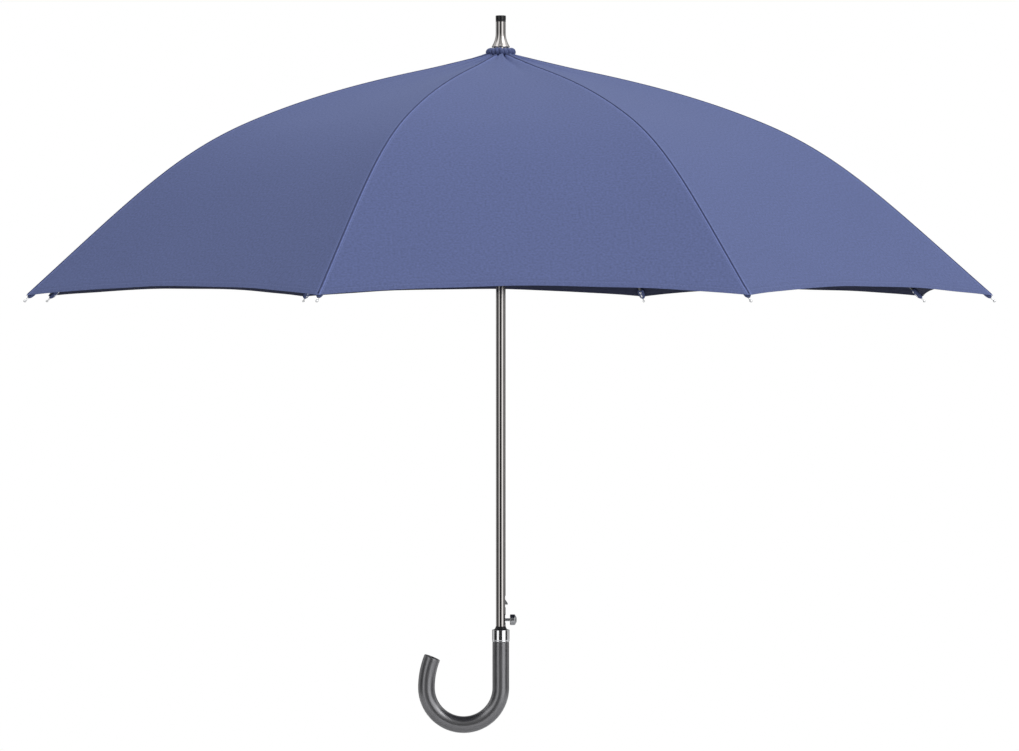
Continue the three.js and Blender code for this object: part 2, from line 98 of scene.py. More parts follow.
class Wire:
    """One shader socket that takes part in sums."""

    def __init__(self, bench: "Bench", socket: bpy.types.NodeSocket) -> None:
        """Keeps the socket and the bench it belongs to.

        Args:
            bench: the bench whose node tree holds the socket.
            socket: an output socket.
        """
        self.bench = bench
        self.socket = socket

    def _join(self, other: "Wire | Number", operation: str, swapped: bool = False) -> "Wire":
        """Adds the node for one operation.

        Args:
            other: the second wire or number.
            operation: ADD, SUBTRACT, MULTIPLY or DIVIDE.
            swapped: true when other stands on the left of the operator.

        Returns:
            The wire that carries the result.
        """
        pair = [other, self] if swapped else [self, other]
        kinds = {w.socket.type for w in pair if isinstance(w, Wire)}
        if "RGBA" in kinds:
            sides = [w if isinstance(w, Wire) else (w, w, w, 1.0) for w in pair]
            settings = {"data_type": "RGBA", "blend_type": operation}
            return self.bench.node(
                "ShaderNodeMix", settings, {0: 1.0, 6: sides[0], 7: sides[1]}, out=2
            )
        if "VECTOR" in kinds:
            sides = [w if isinstance(w, Wire) else (w, w, w) for w in pair]
            return self.bench.node(
                "ShaderNodeVectorMath", {"operation": operation}, {0: sides[0], 1: sides[1]}
            )
        return self.bench.node("ShaderNodeMath", {"operation": operation}, {0: pair[0], 1: pair[1]})

    def __add__(self, other: "Wire | Number") -> "Wire":
        """self + other."""
        return self._join(other, "ADD")

    def __radd__(self, other: Number) -> "Wire":
        """other + self."""
        return self._join(other, "ADD", True)

    def __sub__(self, other: "Wire | Number") -> "Wire":
        """self - other."""
        return self._join(other, "SUBTRACT")

    def __rsub__(self, other: Number) -> "Wire":
        """other - self."""
        return self._join(other, "SUBTRACT", True)

    def __mul__(self, other: "Wire | Number") -> "Wire":
        """self * other."""
        return self._join(other, "MULTIPLY")

    def __rmul__(self, other: Number) -> "Wire":
        """other * self."""
        return self._join(other, "MULTIPLY", True)

    def __truediv__(self, other: "Wire | Number") -> "Wire":
        """self / other."""
        return self._join(other, "DIVIDE")

    def curve(self, operation: str) -> "Wire":
        """A one-sided operation on a number, such as SINE, FRACT or ABSOLUTE."""
        return self.bench.node("ShaderNodeMath", {"operation": operation}, {0: self})

    def over(self, low: float, high: float) -> "Wire":
        """A soft step on a number.

        Args:
            low: value where the step starts, at 0.
            high: value where the step ends, at 1.

        Returns:
            The step, from 0 to 1; it falls instead of rising where high is below low.
        """
        return self.bench.node(
            "ShaderNodeMapRange",
            {"interpolation_type": "SMOOTHSTEP"},
            {0: self, 1: low, 2: high, 3: 0.0, 4: 1.0},
        )

    def split(self) -> tuple["Wire", "Wire", "Wire"]:
        """Splits a vector.

        Returns:
            Its x, y and z.
        """
        parts = self.bench.node("ShaderNodeSeparateXYZ", {}, {0: self})
        outputs = parts.socket.node.outputs
        return Wire(self.bench, outputs[0]), Wire(self.bench, outputs[1]), Wire(self.bench, outputs[2])


class Bench:
    """A node tree with one way to add nodes."""

    def __init__(self, tree: bpy.types.NodeTree) -> None:
        """Clears the tree.

        Args:
            tree: the node tree of a material or a world.
        """
        self.tree = tree
        tree.nodes.clear()

    def node(
        self,
        kind: str,
        settings: dict[str, Any] | None = None,
        sockets: dict[int | str, Any] | None = None,
        out: int | str = 0,
    ) -> Wire:
        """Adds a node, sets it, then fills its sockets.

        Args:
            kind: Blender's node type.
            settings: properties to set first.
            sockets: values or wires for the inputs, by index or name.
            out: the output to hand back, by index or name.

        Returns:
            The wire of that output, or of the first input where the node has no output.
        """
        made = self.tree.nodes.new(kind)
        for name, value in (settings or {}).items():
            setattr(made, name, value)
        for key, value in (sockets or {}).items():
            if isinstance(value, Wire):
                self.tree.links.new(value.socket, made.inputs[key])
            else:
                made.inputs[key].default_value = value
        return Wire(self, made.outputs[out]) if made.outputs else Wire(self, made.inputs[0])

    def noise(self, where: Wire, scale: float, detail: float = 2.0) -> Wire:
        """Noise from 0 to 1.

        Args:
            where: the coordinate, in metres.
            scale: features per metre.
            detail: octaves.

        Returns:
            The noise as a number.
        """
        return self.node(
            "ShaderNodeTexNoise", {}, {"Vector": where, "Scale": scale, "Detail": detail}, out="Fac"
        )

    def blend(self, factor: Wire, first: "Wire | Colour", second: "Wire | Colour") -> Wire:
        """Mixes two colours.

        Args:
            factor: 0 gives the first colour, 1 the second.
            first: a colour.
            second: a colour.

        Returns:
            The mixed colour.
        """
        sides = [c if isinstance(c, Wire) else (*c, 1.0) for c in (first, second)]
        return self.node(
            "ShaderNodeMix", {"data_type": "RGBA"}, {0: factor, 6: sides[0], 7: sides[1]}, out=2
        )

    def shaded(self, colour: Colour, shade: Wire) -> Wire:
        """A colour multiplied by a number."""
        settings = {"data_type": "RGBA", "blend_type": "MULTIPLY"}
        return self.node("ShaderNodeMix", settings, {0: 1.0, 6: (*colour, 1.0), 7: shade}, out=2)

    def relief(self, height: Wire, depth: float, strength: float = 1.0) -> Wire:
        """A bump.

        Args:
            height: the height, from 0 to 1.
            depth: metres for a height of 1.
            strength: the bump's share.

        Returns:
            The normal.
        """
        return self.node(
            "ShaderNodeBump", {}, {"Strength": strength, "Distance": depth, "Height": height}
        )

    def place(self) -> Wire:
        """The point on the piece, in the frame at rest."""
        return self.node("ShaderNodeTexCoord", {}, {}, out="Object")

    def surface(self, sockets: dict[str, Any]) -> None:
        """Ends a material in one Principled shader.

        Args:
            sockets: the shader's inputs by name.
        """
        shader = self.node("ShaderNodeBsdfPrincipled", {}, sockets)
        self.node("ShaderNodeOutputMaterial", {}, {"Surface": shader})


# ---------------------------------------------------------------- finishes


@dataclass(frozen=True)
class Finish:
    """A finish: the record's slot it belongs to, and how its material is built."""

    name: str
    slot: str

    def build(self) -> bpy.types.Material:
        """Makes the material on first use.

        Returns:
            The material.
        """
        made = bpy.data.materials.get(self.name)
        if made is None:
            made = bpy.data.materials.new(self.name)
            made.use_nodes = True
            self.dress(Bench(made.node_tree))
        return made

    def dress(self, bench: Bench) -> None:
        """Adds the finish's nodes to an empty bench."""
        raise NotImplementedError


@dataclass(frozen=True)
class Plating(Finish):
    """Polished or blackened plate, with faint draw marks and handling haze."""

    colour: Colour = (0.8, 0.81, 0.82)
    roughness: float = 0.1
    haze: float = 0.06

    def dress(self, bench: Bench) -> None:
        """Adds the finish's nodes.

        Args:
            bench: the material's empty node tree.
        """
        where = bench.place()
        drawn = bench.node("ShaderNodeMapping", {}, {"Vector": where, "Scale": (1.0, 1.0, 0.03)})
        marks = bench.noise(drawn, 5200.0, 3.0)
        cloud = bench.noise(where, 95.0, 4.0)
        bench.surface(
            {
                "Base Color": bench.shaded(self.colour, 0.94 + 0.12 * cloud),
                "Metallic": 1.0,
                "Roughness": self.roughness + self.haze * cloud + 0.05 * marks,
                "Normal": bench.relief(marks, 0.002 * MM, 0.12),
            }
        )


@dataclass(frozen=True)
class SatinGrip(Finish):
    """The crook's satin gunmetal coat: a fine orange peel over a metallic grey, worn a little."""

    colour: Colour = (0.2, 0.2, 0.208)

    def dress(self, bench: Bench) -> None:
        """Adds the finish's nodes.

        Args:
            bench: the material's empty node tree.
        """
        where = bench.place()
        peel = bench.noise(where, 2600.0, 2.0)
        wear = bench.noise(where, 60.0, 5.0)
        flake = bench.noise(where, 9000.0, 1.0)
        shade = 0.93 + 0.1 * wear + 0.04 * flake
        bench.surface(
            {
                "Base Color": bench.shaded(self.colour, shade),
                "Metallic": 0.8,
                "Roughness": 0.25 + 0.05 * wear + 0.02 * peel,
                "Coat Weight": 0.2,
                "Coat Roughness": 0.22,
                "Normal": bench.relief(peel, 0.008 * MM, 0.15),
            }
        )


@dataclass(frozen=True)
class Moulding(Finish):
    """Moulded plastic with a fine spark-eroded grain."""

    colour: Colour = (0.014, 0.014, 0.016)
    roughness: float = 0.38
    grain: float = 1900.0

    def dress(self, bench: Bench) -> None:
        """Adds the finish's nodes.

        Args:
            bench: the material's empty node tree.
        """
        where = bench.place()
        grain = bench.noise(where, self.grain, 3.0)
        scuff = bench.noise(where, 130.0, 5.0)
        worn = scuff.over(0.6, 0.78)
        lighter = tuple(min(1.0, 1.9 * c + 0.006) for c in self.colour)
        bench.surface(
            {
                "Base Color": bench.blend(worn * 0.5, self.colour, lighter),
                "Roughness": self.roughness + 0.14 * grain + 0.1 * worn,
                "Normal": bench.relief(grain, 0.03 * MM, 0.4),
            }
        )


@dataclass(frozen=True)
class RibCoat(Finish):
    """Blackened rib steel: a thin coat that rubs through to metal in spots and along its length."""

    coat: Colour = (0.1, 0.104, 0.112)
    metal: Colour = (0.34, 0.35, 0.37)

    def dress(self, bench: Bench) -> None:
        """Adds the finish's nodes.

        Args:
            bench: the material's empty node tree.
        """
        where = bench.place()
        rub = (bench.noise(where, 210.0, 6.0) * 0.7 + bench.noise(where, 1700.0, 2.0) * 0.3).over(0.58, 0.7)
        roll = bench.noise(where, 3100.0, 2.0)
        bench.surface(
            {
                "Base Color": bench.blend(rub * 0.45, self.coat, self.metal),
                "Metallic": 0.55 + 0.4 * rub,
                "Roughness": 0.42 - 0.12 * rub + 0.08 * roll,
                "Normal": bench.relief(roll, 0.01 * MM, 0.4),
            }
        )


@dataclass(frozen=True)
class SpringSteel(Finish):
    """Bright drawn wire and small turned pins."""

    colour: Colour = (0.5, 0.51, 0.53)

    def dress(self, bench: Bench) -> None:
        """Adds the finish's nodes.

        Args:
            bench: the material's empty node tree.
        """
        where = bench.place()
        draw = bench.noise(where, 2400.0, 4.0)
        oil = bench.noise(where, 150.0, 3.0)
        bench.surface(
            {
                "Base Color": bench.shaded(self.colour, 0.8 + 0.3 * oil),
                "Metallic": 1.0,
                "Roughness": 0.22 + 0.2 * draw,
                "Normal": bench.relief(draw, 0.01 * MM, 0.4),
            }
        )


@dataclass(frozen=True)
class FloorPaint(Finish):
    """Pale matt paint with a faint mottle."""

    colour: Colour = (0.84, 0.84, 0.85)

    def dress(self, bench: Bench) -> None:
        """Adds the finish's nodes.

        Args:
            bench: the material's empty node tree.
        """
        mottle = bench.noise(bench.place(), 6.0, 4.0)
        bench.surface(
            {
                "Base Color": bench.shaded(self.colour, 0.97 + 0.05 * mottle),
                "Roughness": 0.7 + 0.1 * mottle,
            }
        )


@dataclass(frozen=True)
class Pongee(Finish):
    """Close plain-woven canopy cloth.

    The map "cloth" runs in metres across the gore and down it; the map "edge" holds the distances from
    the nearer rib and from the hem.
    """

    colour: Colour = (0.082, 0.105, 0.237)
    speckle: float = 0.8
    sheen: float = 0.16
    thread: float = 0.42 * MM
    hem_seam: float = 6.2 * MM
    rib_seam: float = 3.6 * MM
    hem_width: float = 10 * MM
    stitch: float = 2.8 * MM

    def dress(self, bench: Bench) -> None:
        """Adds the finish's nodes.

        Args:
            bench: the material's empty node tree.
        """
        cloth = bench.node("ShaderNodeUVMap", {"uv_map": "cloth"}, {}, out="UV")
        across, down, _ = cloth.split()
        warp = (across * (2 * math.pi / self.thread)).curve("SINE")
        weft = (down * (2 * math.pi / self.thread)).curve("SINE")
        weave = 0.5 + 0.25 * warp * (weft + 1.0) + 0.12 * weft
        slub_map = bench.node("ShaderNodeMapping", {}, {"Vector": cloth, "Scale": (1.0, 0.22, 1.0)})
        slub = bench.noise(slub_map, 900.0, 2.0)
        speck = bench.noise(cloth, 430.0, 3.0)
        tone = bench.noise(cloth, 14.0, 3.0)
        shade = 1.0 + self.speckle * (speck - 0.5) + 0.1 * (slub - 0.5) + 0.06 * (tone - 0.5)
        edge = bench.node("ShaderNodeUVMap", {"uv_map": "edge"}, {}, out="UV")
        from_rib, from_hem, _ = edge.split()
        stitch = self._stitches(from_hem - self.hem_seam, across)
        stitch = stitch + self._stitches(from_rib - self.rib_seam, down)
        fold = from_hem.over(self.hem_width + 0.4 * MM, self.hem_width - 0.6 * MM)
        # Painted highlight: the cloth is lightened in a thin band about 1 to 3 mm from each rib, standing in for
        # light caught where the seam lifts the cloth.
        painted_seam_highlight = from_rib.over(0.9 * MM, 1.3 * MM) * from_rib.over(2.8 * MM, 2.0 * MM)
        body = bench.shaded(self.colour, shade * (1.0 - 0.05 * fold + 0.45 * painted_seam_highlight))
        thread = tuple(min(1.0, 1.35 * c + 0.02) for c in self.colour)
        bench.surface(
            {
                "Base Color": bench.blend(stitch * 0.6, body, thread),
                "Roughness": 0.8 + 0.1 * (weave - 0.5),
                "Sheen Weight": self.sheen,
                "Sheen Roughness": 0.45,
                "Sheen Tint": (0.55, 0.68, 1.0, 1.0),
                "Specular IOR Level": 0.25,
                "Normal": bench.relief(weave + 1.4 * stitch + 0.5 * slub, 0.06 * MM, 0.45),
            }
        )

    def _stitches(self, aside: Wire, along: Wire) -> Wire:
        """A row of lock stitches.

        Args:
            aside: the distance from the sewing line, in metres.
            along: the distance along it.

        Returns:
            A mask that is 1 on the thread.
        """
        line = aside.curve("ABSOLUTE").over(0.38 * MM, 0.2 * MM)
        dash = ((along / self.stitch).curve("FRACT") - 0.5).curve("ABSOLUTE").over(0.42, 0.34)
        return line * dash


class Palette(Enum):
    """Every finish on the umbrella, and the floor's, which belongs to no slot."""

    NAVY = Pongee("navy pongee", "navy_fabric")
    # Painted shade: the canopy's underside is the same navy cloth darkened almost to black, standing in for the
    # shade under the canopy.
    LINING = Pongee("pongee inside", "navy_fabric", (0.016, 0.02, 0.05), speckle=0.3, sheen=0.03)
    # Painted shade: the cloth over each rib is the navy cloth darkened, standing in for the shade in the groove
    # along the seam.
    WELT = Pongee("seam welt", "navy_fabric", (0.035, 0.045, 0.115))
    # Painted shade: a darker copy of the navy cloth for the gathered tip pockets and the crown ruffle, standing in
    # for the shade in their creases.
    POCKET = Pongee("gathered pongee", "navy_fabric", (0.07, 0.09, 0.2))
    BLACK_NICKEL = Plating("black nickel", "dark_chrome", (0.46, 0.44, 0.43), 0.045, 0.03)
    CHROME = Plating("bright chrome", "bright_chrome", (0.82, 0.83, 0.84), 0.07)
    BUTTON = Plating("button plate", "dark_chrome", (0.4, 0.41, 0.42), 0.2, 0.1)
    GRIP = SatinGrip("satin gunmetal", "soft_grey_grip")
    BLACK = Moulding("black moulding", "black_plastic")
    CAP = Moulding("gloss cap", "black_plastic", (0.008, 0.008, 0.009), 0.16, 2600.0)
    RIB = RibCoat("blackened rib steel", "rib_steel")
    STEEL = SpringSteel("drawn steel", "steel")
    FLOOR = FloorPaint("pale floor", "")

    def material(self) -> bpy.types.Material:
        """The finish's material."""
        return self.value.build()


# ---------------------------------------------------------------- meshes


@dataclass
class Body:
    """Points and faces of one piece, gathered before Blender makes its mesh."""

    points: list[tuple[float, float, float]] = field(default_factory=list)
    faces: list[tuple[int, ...]] = field(default_factory=list)

    def ring(self, points: np.ndarray) -> int:
        """Adds points.

        Args:
            points: rows of x, y and z.

        Returns:
            The index of the first one.
        """
        first = len(self.points)
        self.points += [tuple(map(float, p)) for p in points]
        return first

    def skin(self, first: int, second: int, sides: int) -> None:
        """Joins two closed rings with quads.

        Args:
            first: the first ring's first point.
            second: the second ring's first point.
            sides: the number of points in each ring.
        """
        for k in range(sides):
            after = (k + 1) % sides
            self.faces.append((first + k, first + after, second + after, second + k))

    def lid(self, first: int, sides: int, flip: bool) -> None:
        """Closes a ring with a fan around its middle point.

        Args:
            first: the ring's first point.
            sides: the number of points in it.
            flip: true at the start of a tube, false at its end.
        """
        middle = self.ring(np.mean(np.array(self.points[first : first + sides]), axis=0)[None, :])
        for k in range(sides):
            after = (k + 1) % sides
            pair = (first + after, first + k) if flip else (first + k, first + after)
            self.faces.append((*pair, middle))

    def tube(self, rings: Sequence[int], sides: int) -> None:
        """Skins a row of rings and closes its two ends.

        Args:
            rings: each ring's first point.
            sides: the number of points in each ring.
        """
        for first, second in zip(rings, rings[1:]):
            self.skin(first, second, sides)
        self.lid(rings[0], sides, True)
        self.lid(rings[-1], sides, False)

    def build(self, name: str, finish: Palette, even: bool = True) -> bpy.types.Object:
        """Makes the object.

        Args:
            name: the piece's name.
            finish: its finish.
            even: true to weigh normals by face area, as on turned metal.

        Returns:
            The object, linked to the scene.
        """
        mesh = bpy.data.meshes.new(name)
        mesh.from_pydata(self.points, [], self.faces)
        mesh.materials.append(finish.material())
        mesh.polygons.foreach_set("use_smooth", [True] * len(mesh.polygons))
        made = bpy.data.objects.new(name, mesh)
        bpy.context.scene.collection.objects.link(made)
        if even:
            weigh = made.modifiers.new("normals", "WEIGHTED_NORMAL")
            weigh.weight = 100
        return made


def unit(rows: np.ndarray) -> np.ndarray:
    """Vectors of length 1 along each row."""
    return rows / np.maximum(np.linalg.norm(rows, axis=-1, keepdims=True), 1e-12)


def hoop(side: np.ndarray, front: np.ndarray, sides: int) -> np.ndarray:
    """Points of a unit circle.

    Args:
        side: the direction of the first point.
        front: the direction of the point a quarter turn on.
        sides: the number of points.

    Returns:
        The points, one per row.
    """
    turn = 2 * math.pi * np.arange(sides) / sides
    return np.outer(np.cos(turn), side) + np.outer(np.sin(turn), front)


def add_maps(mesh: bpy.types.Mesh, maps: dict[str, np.ndarray]) -> np.ndarray:
    """Gives a mesh its cloth maps.

    Args:
        mesh: the mesh.
        maps: two values for every vertex, by the map's name.

    Returns:
        The vertex at each of the mesh's face corners.
    """
    corners = np.zeros(len(mesh.loops), np.int32)
    mesh.loops.foreach_get("vertex_index", corners)
    for name, values in maps.items():
        mesh.uv_layers.new(name=name).data.foreach_set("uv", values[corners].ravel())
    return corners


def in_mm(*points: tuple[float, float]) -> list[tuple[float, float]]:
    """A profile whose points are given in millimetres."""
    return [(radius * MM, height * MM) for radius, height in points]


def rounded(profile: Sequence[tuple[float, float]], fillet: float, steps: int = 4) -> list[np.ndarray]:
    """Rounds the inner corners of an open profile.

    Args:
        profile: (radius, height) points.
        fillet: how far a corner is cut back along its two sides.
        steps: points across a corner.

    Returns:
        The rounded profile.
    """
    corners = [np.array(p, float) for p in profile]
    smooth = [corners[0]]
    for before, corner, after in zip(corners, corners[1:], corners[2:]):
        back, on = before - corner, after - corner
        cut = min(fillet, 0.45 * np.linalg.norm(back), 0.45 * np.linalg.norm(on))
        start = corner + back / np.linalg.norm(back) * cut
        end = corner + on / np.linalg.norm(on) * cut
        for k in range(steps + 1):
            t = k / steps
            smooth.append((1 - t) ** 2 * start + 2 * t * (1 - t) * corner + t * t * end)
    return smooth + [corners[-1]]


def turned(
    name: str,
    finish: Palette,
    profile: Sequence[Sequence[float]],
    sides: int = 72,
    centre: Vector = Vector((0.0, 0.0, 0.0)),
    axis: Vector = Vector((0.0, 0.0, 1.0)),
    even: bool = True,
) -> bpy.types.Object:
    """Turns a profile around an axis, as on a lathe.

    Args:
        name: the piece's name.
        finish: its finish.
        profile: (radius, distance along the axis) points; a radius of 0 closes the end.
        sides: facets round the axis.
        centre: where the axis starts.
        axis: its direction.
        even: see Body.build.

    Returns:
        The turned piece. A profile that ends where it starts makes a ring.
    """
    along = np.array(axis.normalized())
    side = np.cross(along, (0.0, 1.0, 0.0) if abs(along[1]) < 0.9 else (1.0, 0.0, 0.0))
    side /= np.linalg.norm(side)
    circle = hoop(side, np.cross(along, side), sides)
    body = Body()
    closed = math.dist(profile[0], profile[-1]) < 1e-9
    stations = profile[:-1] if closed else profile
    rings = [body.ring(np.array(centre) + max(r, NEEDLE) * circle + h * along) for r, h in stations]
    if closed:
        for first, second in zip(rings, rings[1:] + rings[:1]):
            body.skin(first, second, sides)
    else:
        body.tube(rings, sides)
    return body.build(name, finish, even)


def swept(
    name: str,
    finish: Palette,
    path: np.ndarray,
    radii: Sequence[float],
    sides: int,
    normal: Sequence[float],
    ways: np.ndarray | None = None,
    even: bool = False,
) -> bpy.types.Object:
    """Sweeps a circle along a path, with closed ends.

    Args:
        name: the piece's name.
        finish: its finish.
        path: the centreline's points.
        radii: the radius at each point.
        sides: facets round the path.
        normal: a direction that the path never takes.
        ways: the direction at each point; along the path where it is left out.
        even: see Body.build.

    Returns:
        The swept piece.
    """
    body = Body()
    rings = []
    for centre, way, radius in zip(path, unit(np.gradient(path, axis=0)) if ways is None else ways, radii):
        side = unit(np.cross(way, normal))
        rings.append(body.ring(centre + radius * hoop(side, np.cross(way, side), sides)))
    body.tube(rings, sides)
    return body.build(name, finish, even)


def settle(
    piece: bpy.types.Object, body: str, stands_for: Sequence[str] = ()
) -> bpy.types.Object:
    """Puts a piece on its body and reports it.

    Args:
        piece: the object.
        body: the CAD body it rides on.
        stands_for: the CAD nodes it replaces.

    Returns:
        The piece.
    """
    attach(piece, body)
    if stands_for:
        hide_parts(*stands_for)
    log.info("%s rides on %s", piece.name, body)
    return piece


# ---------------------------------------------------------------- studio


@dataclass
class Studio:
    """Floor, light and camera."""

    focal: float = 134.0
    distance: float = 3.87
    eye_height: float = 0.37
    aim: tuple[float, float, float] = (0.0089, 0.0, 0.295)
    floor_drop: float = 0.3
    floor_radius: float = 1.5
    floor_thick: float = 0.02
    lit_spot: tuple[float, float, float] = (0.0, 0.0, 0.45)

    def make_camera(self) -> None:
        """Makes the camera, level with the canopy's tips and aimed a little down."""
        data = bpy.data.cameras.new("camera")
        data.lens = self.focal
        data.sensor_width = 36.0
        camera = bpy.data.objects.new("camera", data)
        bpy.context.scene.collection.objects.link(camera)
        camera.location = (self.aim[0], -self.distance, self.eye_height)
        way = Vector(self.aim) - camera.location
        camera.rotation_euler = way.to_track_quat("-Z", "Y").to_euler()
        bpy.context.scene.camera = camera

    def make_floor(self) -> None:
        """Makes the pale floor, a round board below the handle."""
        top = CAD_BOX[0].z - self.floor_drop
        under = top - self.floor_thick
        profile = [(0.0, under), (self.floor_radius, under), (self.floor_radius, top), (0.0, top)]
        turned("floor", Palette.FLOOR, profile, 96)

    def make_world(self) -> None:
        """Makes the room: white to look at, softly banded where it lights and is reflected."""
        world = bpy.data.worlds.new("studio")
        bpy.context.scene.world = world
        world.use_nodes = True
        bench = Bench(world.node_tree)
        way = bench.node("ShaderNodeTexCoord", {}, {}, out="Generated")
        right, ahead, up = way.split()
        left = 0.0 - right
        front = (0.0 - ahead).over(-0.12, 0.06)
        strips = right.over(0.3, 0.4) * right.over(0.95, 0.8) * 1.55
        strips = strips + left.over(0.4, 0.5) * left.over(0.84, 0.72) * 1.2
        rear = ahead.over(0.05, 0.2) * right.curve("ABSOLUTE").over(0.5, 0.72) * 0.5
        level = up.over(0.97, 0.8) * up.over(-0.9, -0.5)
        sky = up.over(-0.15, 1.0) * (0.6 + 0.2 * right)
        glow = 0.02 + (strips * front + rear) * level + sky
        seen = bench.node("ShaderNodeLightPath", {}, {}, out="Is Camera Ray")
        light = bench.blend(seen, bench.shaded((1.0, 1.0, 1.0), glow), (1.0, 1.0, 1.0))
        shader = bench.node("ShaderNodeBackground", {}, {"Color": light, "Strength": 1.0})
        bench.node("ShaderNodeOutputWorld", {}, {"Surface": shader})

    def make_lights(self) -> None:
        """Makes the key light on the right and a softer one over the crown."""
        self._softbox("key", (2.2, -2.1, 2.6), 1.8, 25.0)
        self._softbox("top", (0.1, -0.4, 3.0), 1.4, 18.0)

    def _softbox(self, name: str, spot: tuple[float, float, float], size: float, power: float) -> None:
        """Makes one square light that faces the canopy.

        Args:
            name: its name.
            spot: where it stands.
            size: its side.
            power: its power in watts.
        """
        data = bpy.data.lights.new(name, "AREA")
        data.size = size
        data.energy = power
        lamp = bpy.data.objects.new(name, data)
        bpy.context.scene.collection.objects.link(lamp)
        lamp.location = spot
        lamp.rotation_euler = (Vector(self.lit_spot) - lamp.location).to_track_quat("-Z", "Y").to_euler()


# ---------------------------------------------------------------- canopy


@dataclass(frozen=True)
class RibCurve:
    """The cloth's line over a rib, in the plane through the shaft: (radius, height) along its length."""

    tip: tuple[float, float] = (0.5106, 0.370)
    crown_slope: float = 10.5
    knee_slope: float = 22.0
    tip_slope: float = 41.0
    inner_reach: tuple[float, float] = (0.5, 0.24)
    outer_reach: tuple[float, float] = (0.3, 0.5)
    lift: float = 3.2 * MM
    crown_edge: tuple[float, float] = (5.6 * MM, 0.6238)
    crown_pad: float = 4.2 * MM
    crown_reach: float = 85 * MM
    corner_back: float = 6.0 * MM
    notch_clear: float = 15 * MM
    samples: int = 161

    def trace(self) -> tuple[np.ndarray, float]:
        """Samples the line.

        Returns:
            Rows of (length so far, radius, height), and the length at the knee.
        """
        notch = joint_point("rib_fold_1")
        knee = joint_point("rib_flex_1")
        inner = self._half(notch, knee, self.crown_slope, self.knee_slope, *self.inner_reach)
        outer = self._half(knee, np.array(self.tip), self.knee_slope, self.tip_slope, *self.outer_reach)
        clear = inner[inner[:, 0] > self.notch_clear]
        near = np.clip(1 - clear[:, :1] / self.crown_reach, 0, 1) ** 1.5
        clear = clear + near * np.array([0.0, self.crown_pad])
        line = np.vstack([[self.crown_edge], clear, outer[1:]])
        steps = np.linalg.norm(np.diff(line, axis=0), axis=1)
        length = np.concatenate([[0.0], np.cumsum(steps)])
        return np.column_stack([length, line]), float(length[len(clear)])

    def _half(
        self, start: np.ndarray, end: np.ndarray, slope0: float, slope1: float, reach0: float, reach1: float
    ) -> np.ndarray:
        """One half of the rib, lifted to the cloth.

        Args:
            start: (radius, height) where it starts.
            end: where it ends.
            slope0: the fall at the start, in degrees.
            slope1: the fall at the end.
            reach0: how far the start holds its slope, as a share of the chord.
            reach1: the same at the end.

        Returns:
            Points along the lifted curve.
        """
        chord = math.dist(start, end)
        fall0, fall1 = math.radians(slope0), math.radians(slope1)
        leave = chord * reach0 * np.array([math.cos(fall0), -math.sin(fall0)])
        arrive = chord * reach1 * np.array([math.cos(fall1), -math.sin(fall1)])
        t = np.linspace(0, 1, self.samples)[:, None]
        bend = [start, start + leave, end - arrive, end]
        line = (
            (1 - t) ** 3 * bend[0]
            + 3 * t * (1 - t) ** 2 * bend[1]
            + 3 * t * t * (1 - t) * bend[2]
            + t**3 * bend[3]
        )
        way = unit(np.gradient(line, axis=0))
        return line + self.lift * np.column_stack([-way[:, 1], way[:, 0]])


def joint_named(name: str) -> dict[str, Any]:
    """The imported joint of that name."""
    return next(j for j in frame["joints"] if j["name"] == name)


def joint_point(name: str) -> np.ndarray:
    """A joint's place as (radius from the shaft, height)."""
    x, y, z = joint_named(name)["pos_m"]
    return np.array([math.hypot(x, y), z])


def rib_bearing(rib: int) -> float:
    """The angle of a rib's direction about the shaft, counted from +X."""
    x, y, _ = joint_named(f"rib_fold_{rib}")["pos_m"]
    return math.atan2(y, x)


def rib_ways(rib: int) -> tuple[np.ndarray, np.ndarray]:
    """Finds a rib's level directions.

    Args:
        rib: the rib's number.

    Returns:
        The direction out along the rib, and the one anticlockwise across it.
    """
    bearing = rib_bearing(rib)
    c, s = math.cos(bearing), math.sin(bearing)
    return np.array([c, s, 0.0]), np.array([-s, c, 0.0])


@dataclass(frozen=True)
class Fold:
    """How a wing closes.

    It holds the prefixes of its body and of the rib under it, the tilt of the folding direction in
    degrees, and the share of its width that is left when the umbrella is closed.
    """

    body: str
    rib: str
    tilt: float
    keep: float


class Band(Enum):
    """The three bands of a gore: at the crown, down to the knee, and down to the hem."""

    CAP = Fold("rib_", "rib_inner_", 5.0, 0.3)
    CROWN = Fold("rib_", "rib_inner_", -1.6, 0.2)
    SKIRT = Fold("rib_end_", "rib_outer_", 11.3, 0.1)


@dataclass
class Cloth:
    """A patch of laid cloth, in rows down the gore by columns across it; distances are in metres."""

    points: np.ndarray
    normals: np.ndarray
    from_rib: np.ndarray
    from_hem: np.ndarray
    aside: np.ndarray
    length: np.ndarray

    def columns(self, part: slice) -> "Cloth":
        """The patch's columns in a slice."""
        return Cloth(*(getattr(self, f.name)[:, part] for f in fields(self)))

    def lower(self, where: np.ndarray, drop: float) -> None:
        """Moves the cloth inwards where it lies under its neighbour."""
        self.points = self.points - (where * drop)[..., None] * self.normals

    def maps(self, layers: int = 1) -> dict[str, np.ndarray]:
        """The cloth maps' values.

        Args:
            layers: how many times the patch's points are in the mesh.

        Returns:
            Two values for every vertex, by the map's name.
        """
        pairs = {"cloth": (self.aside, self.length), "edge": (self.from_rib, self.from_hem)}
        return {
            name: np.tile(np.column_stack([first.ravel(), second.ravel()]), (layers, 1))
            for name, (first, second) in pairs.items()
        }


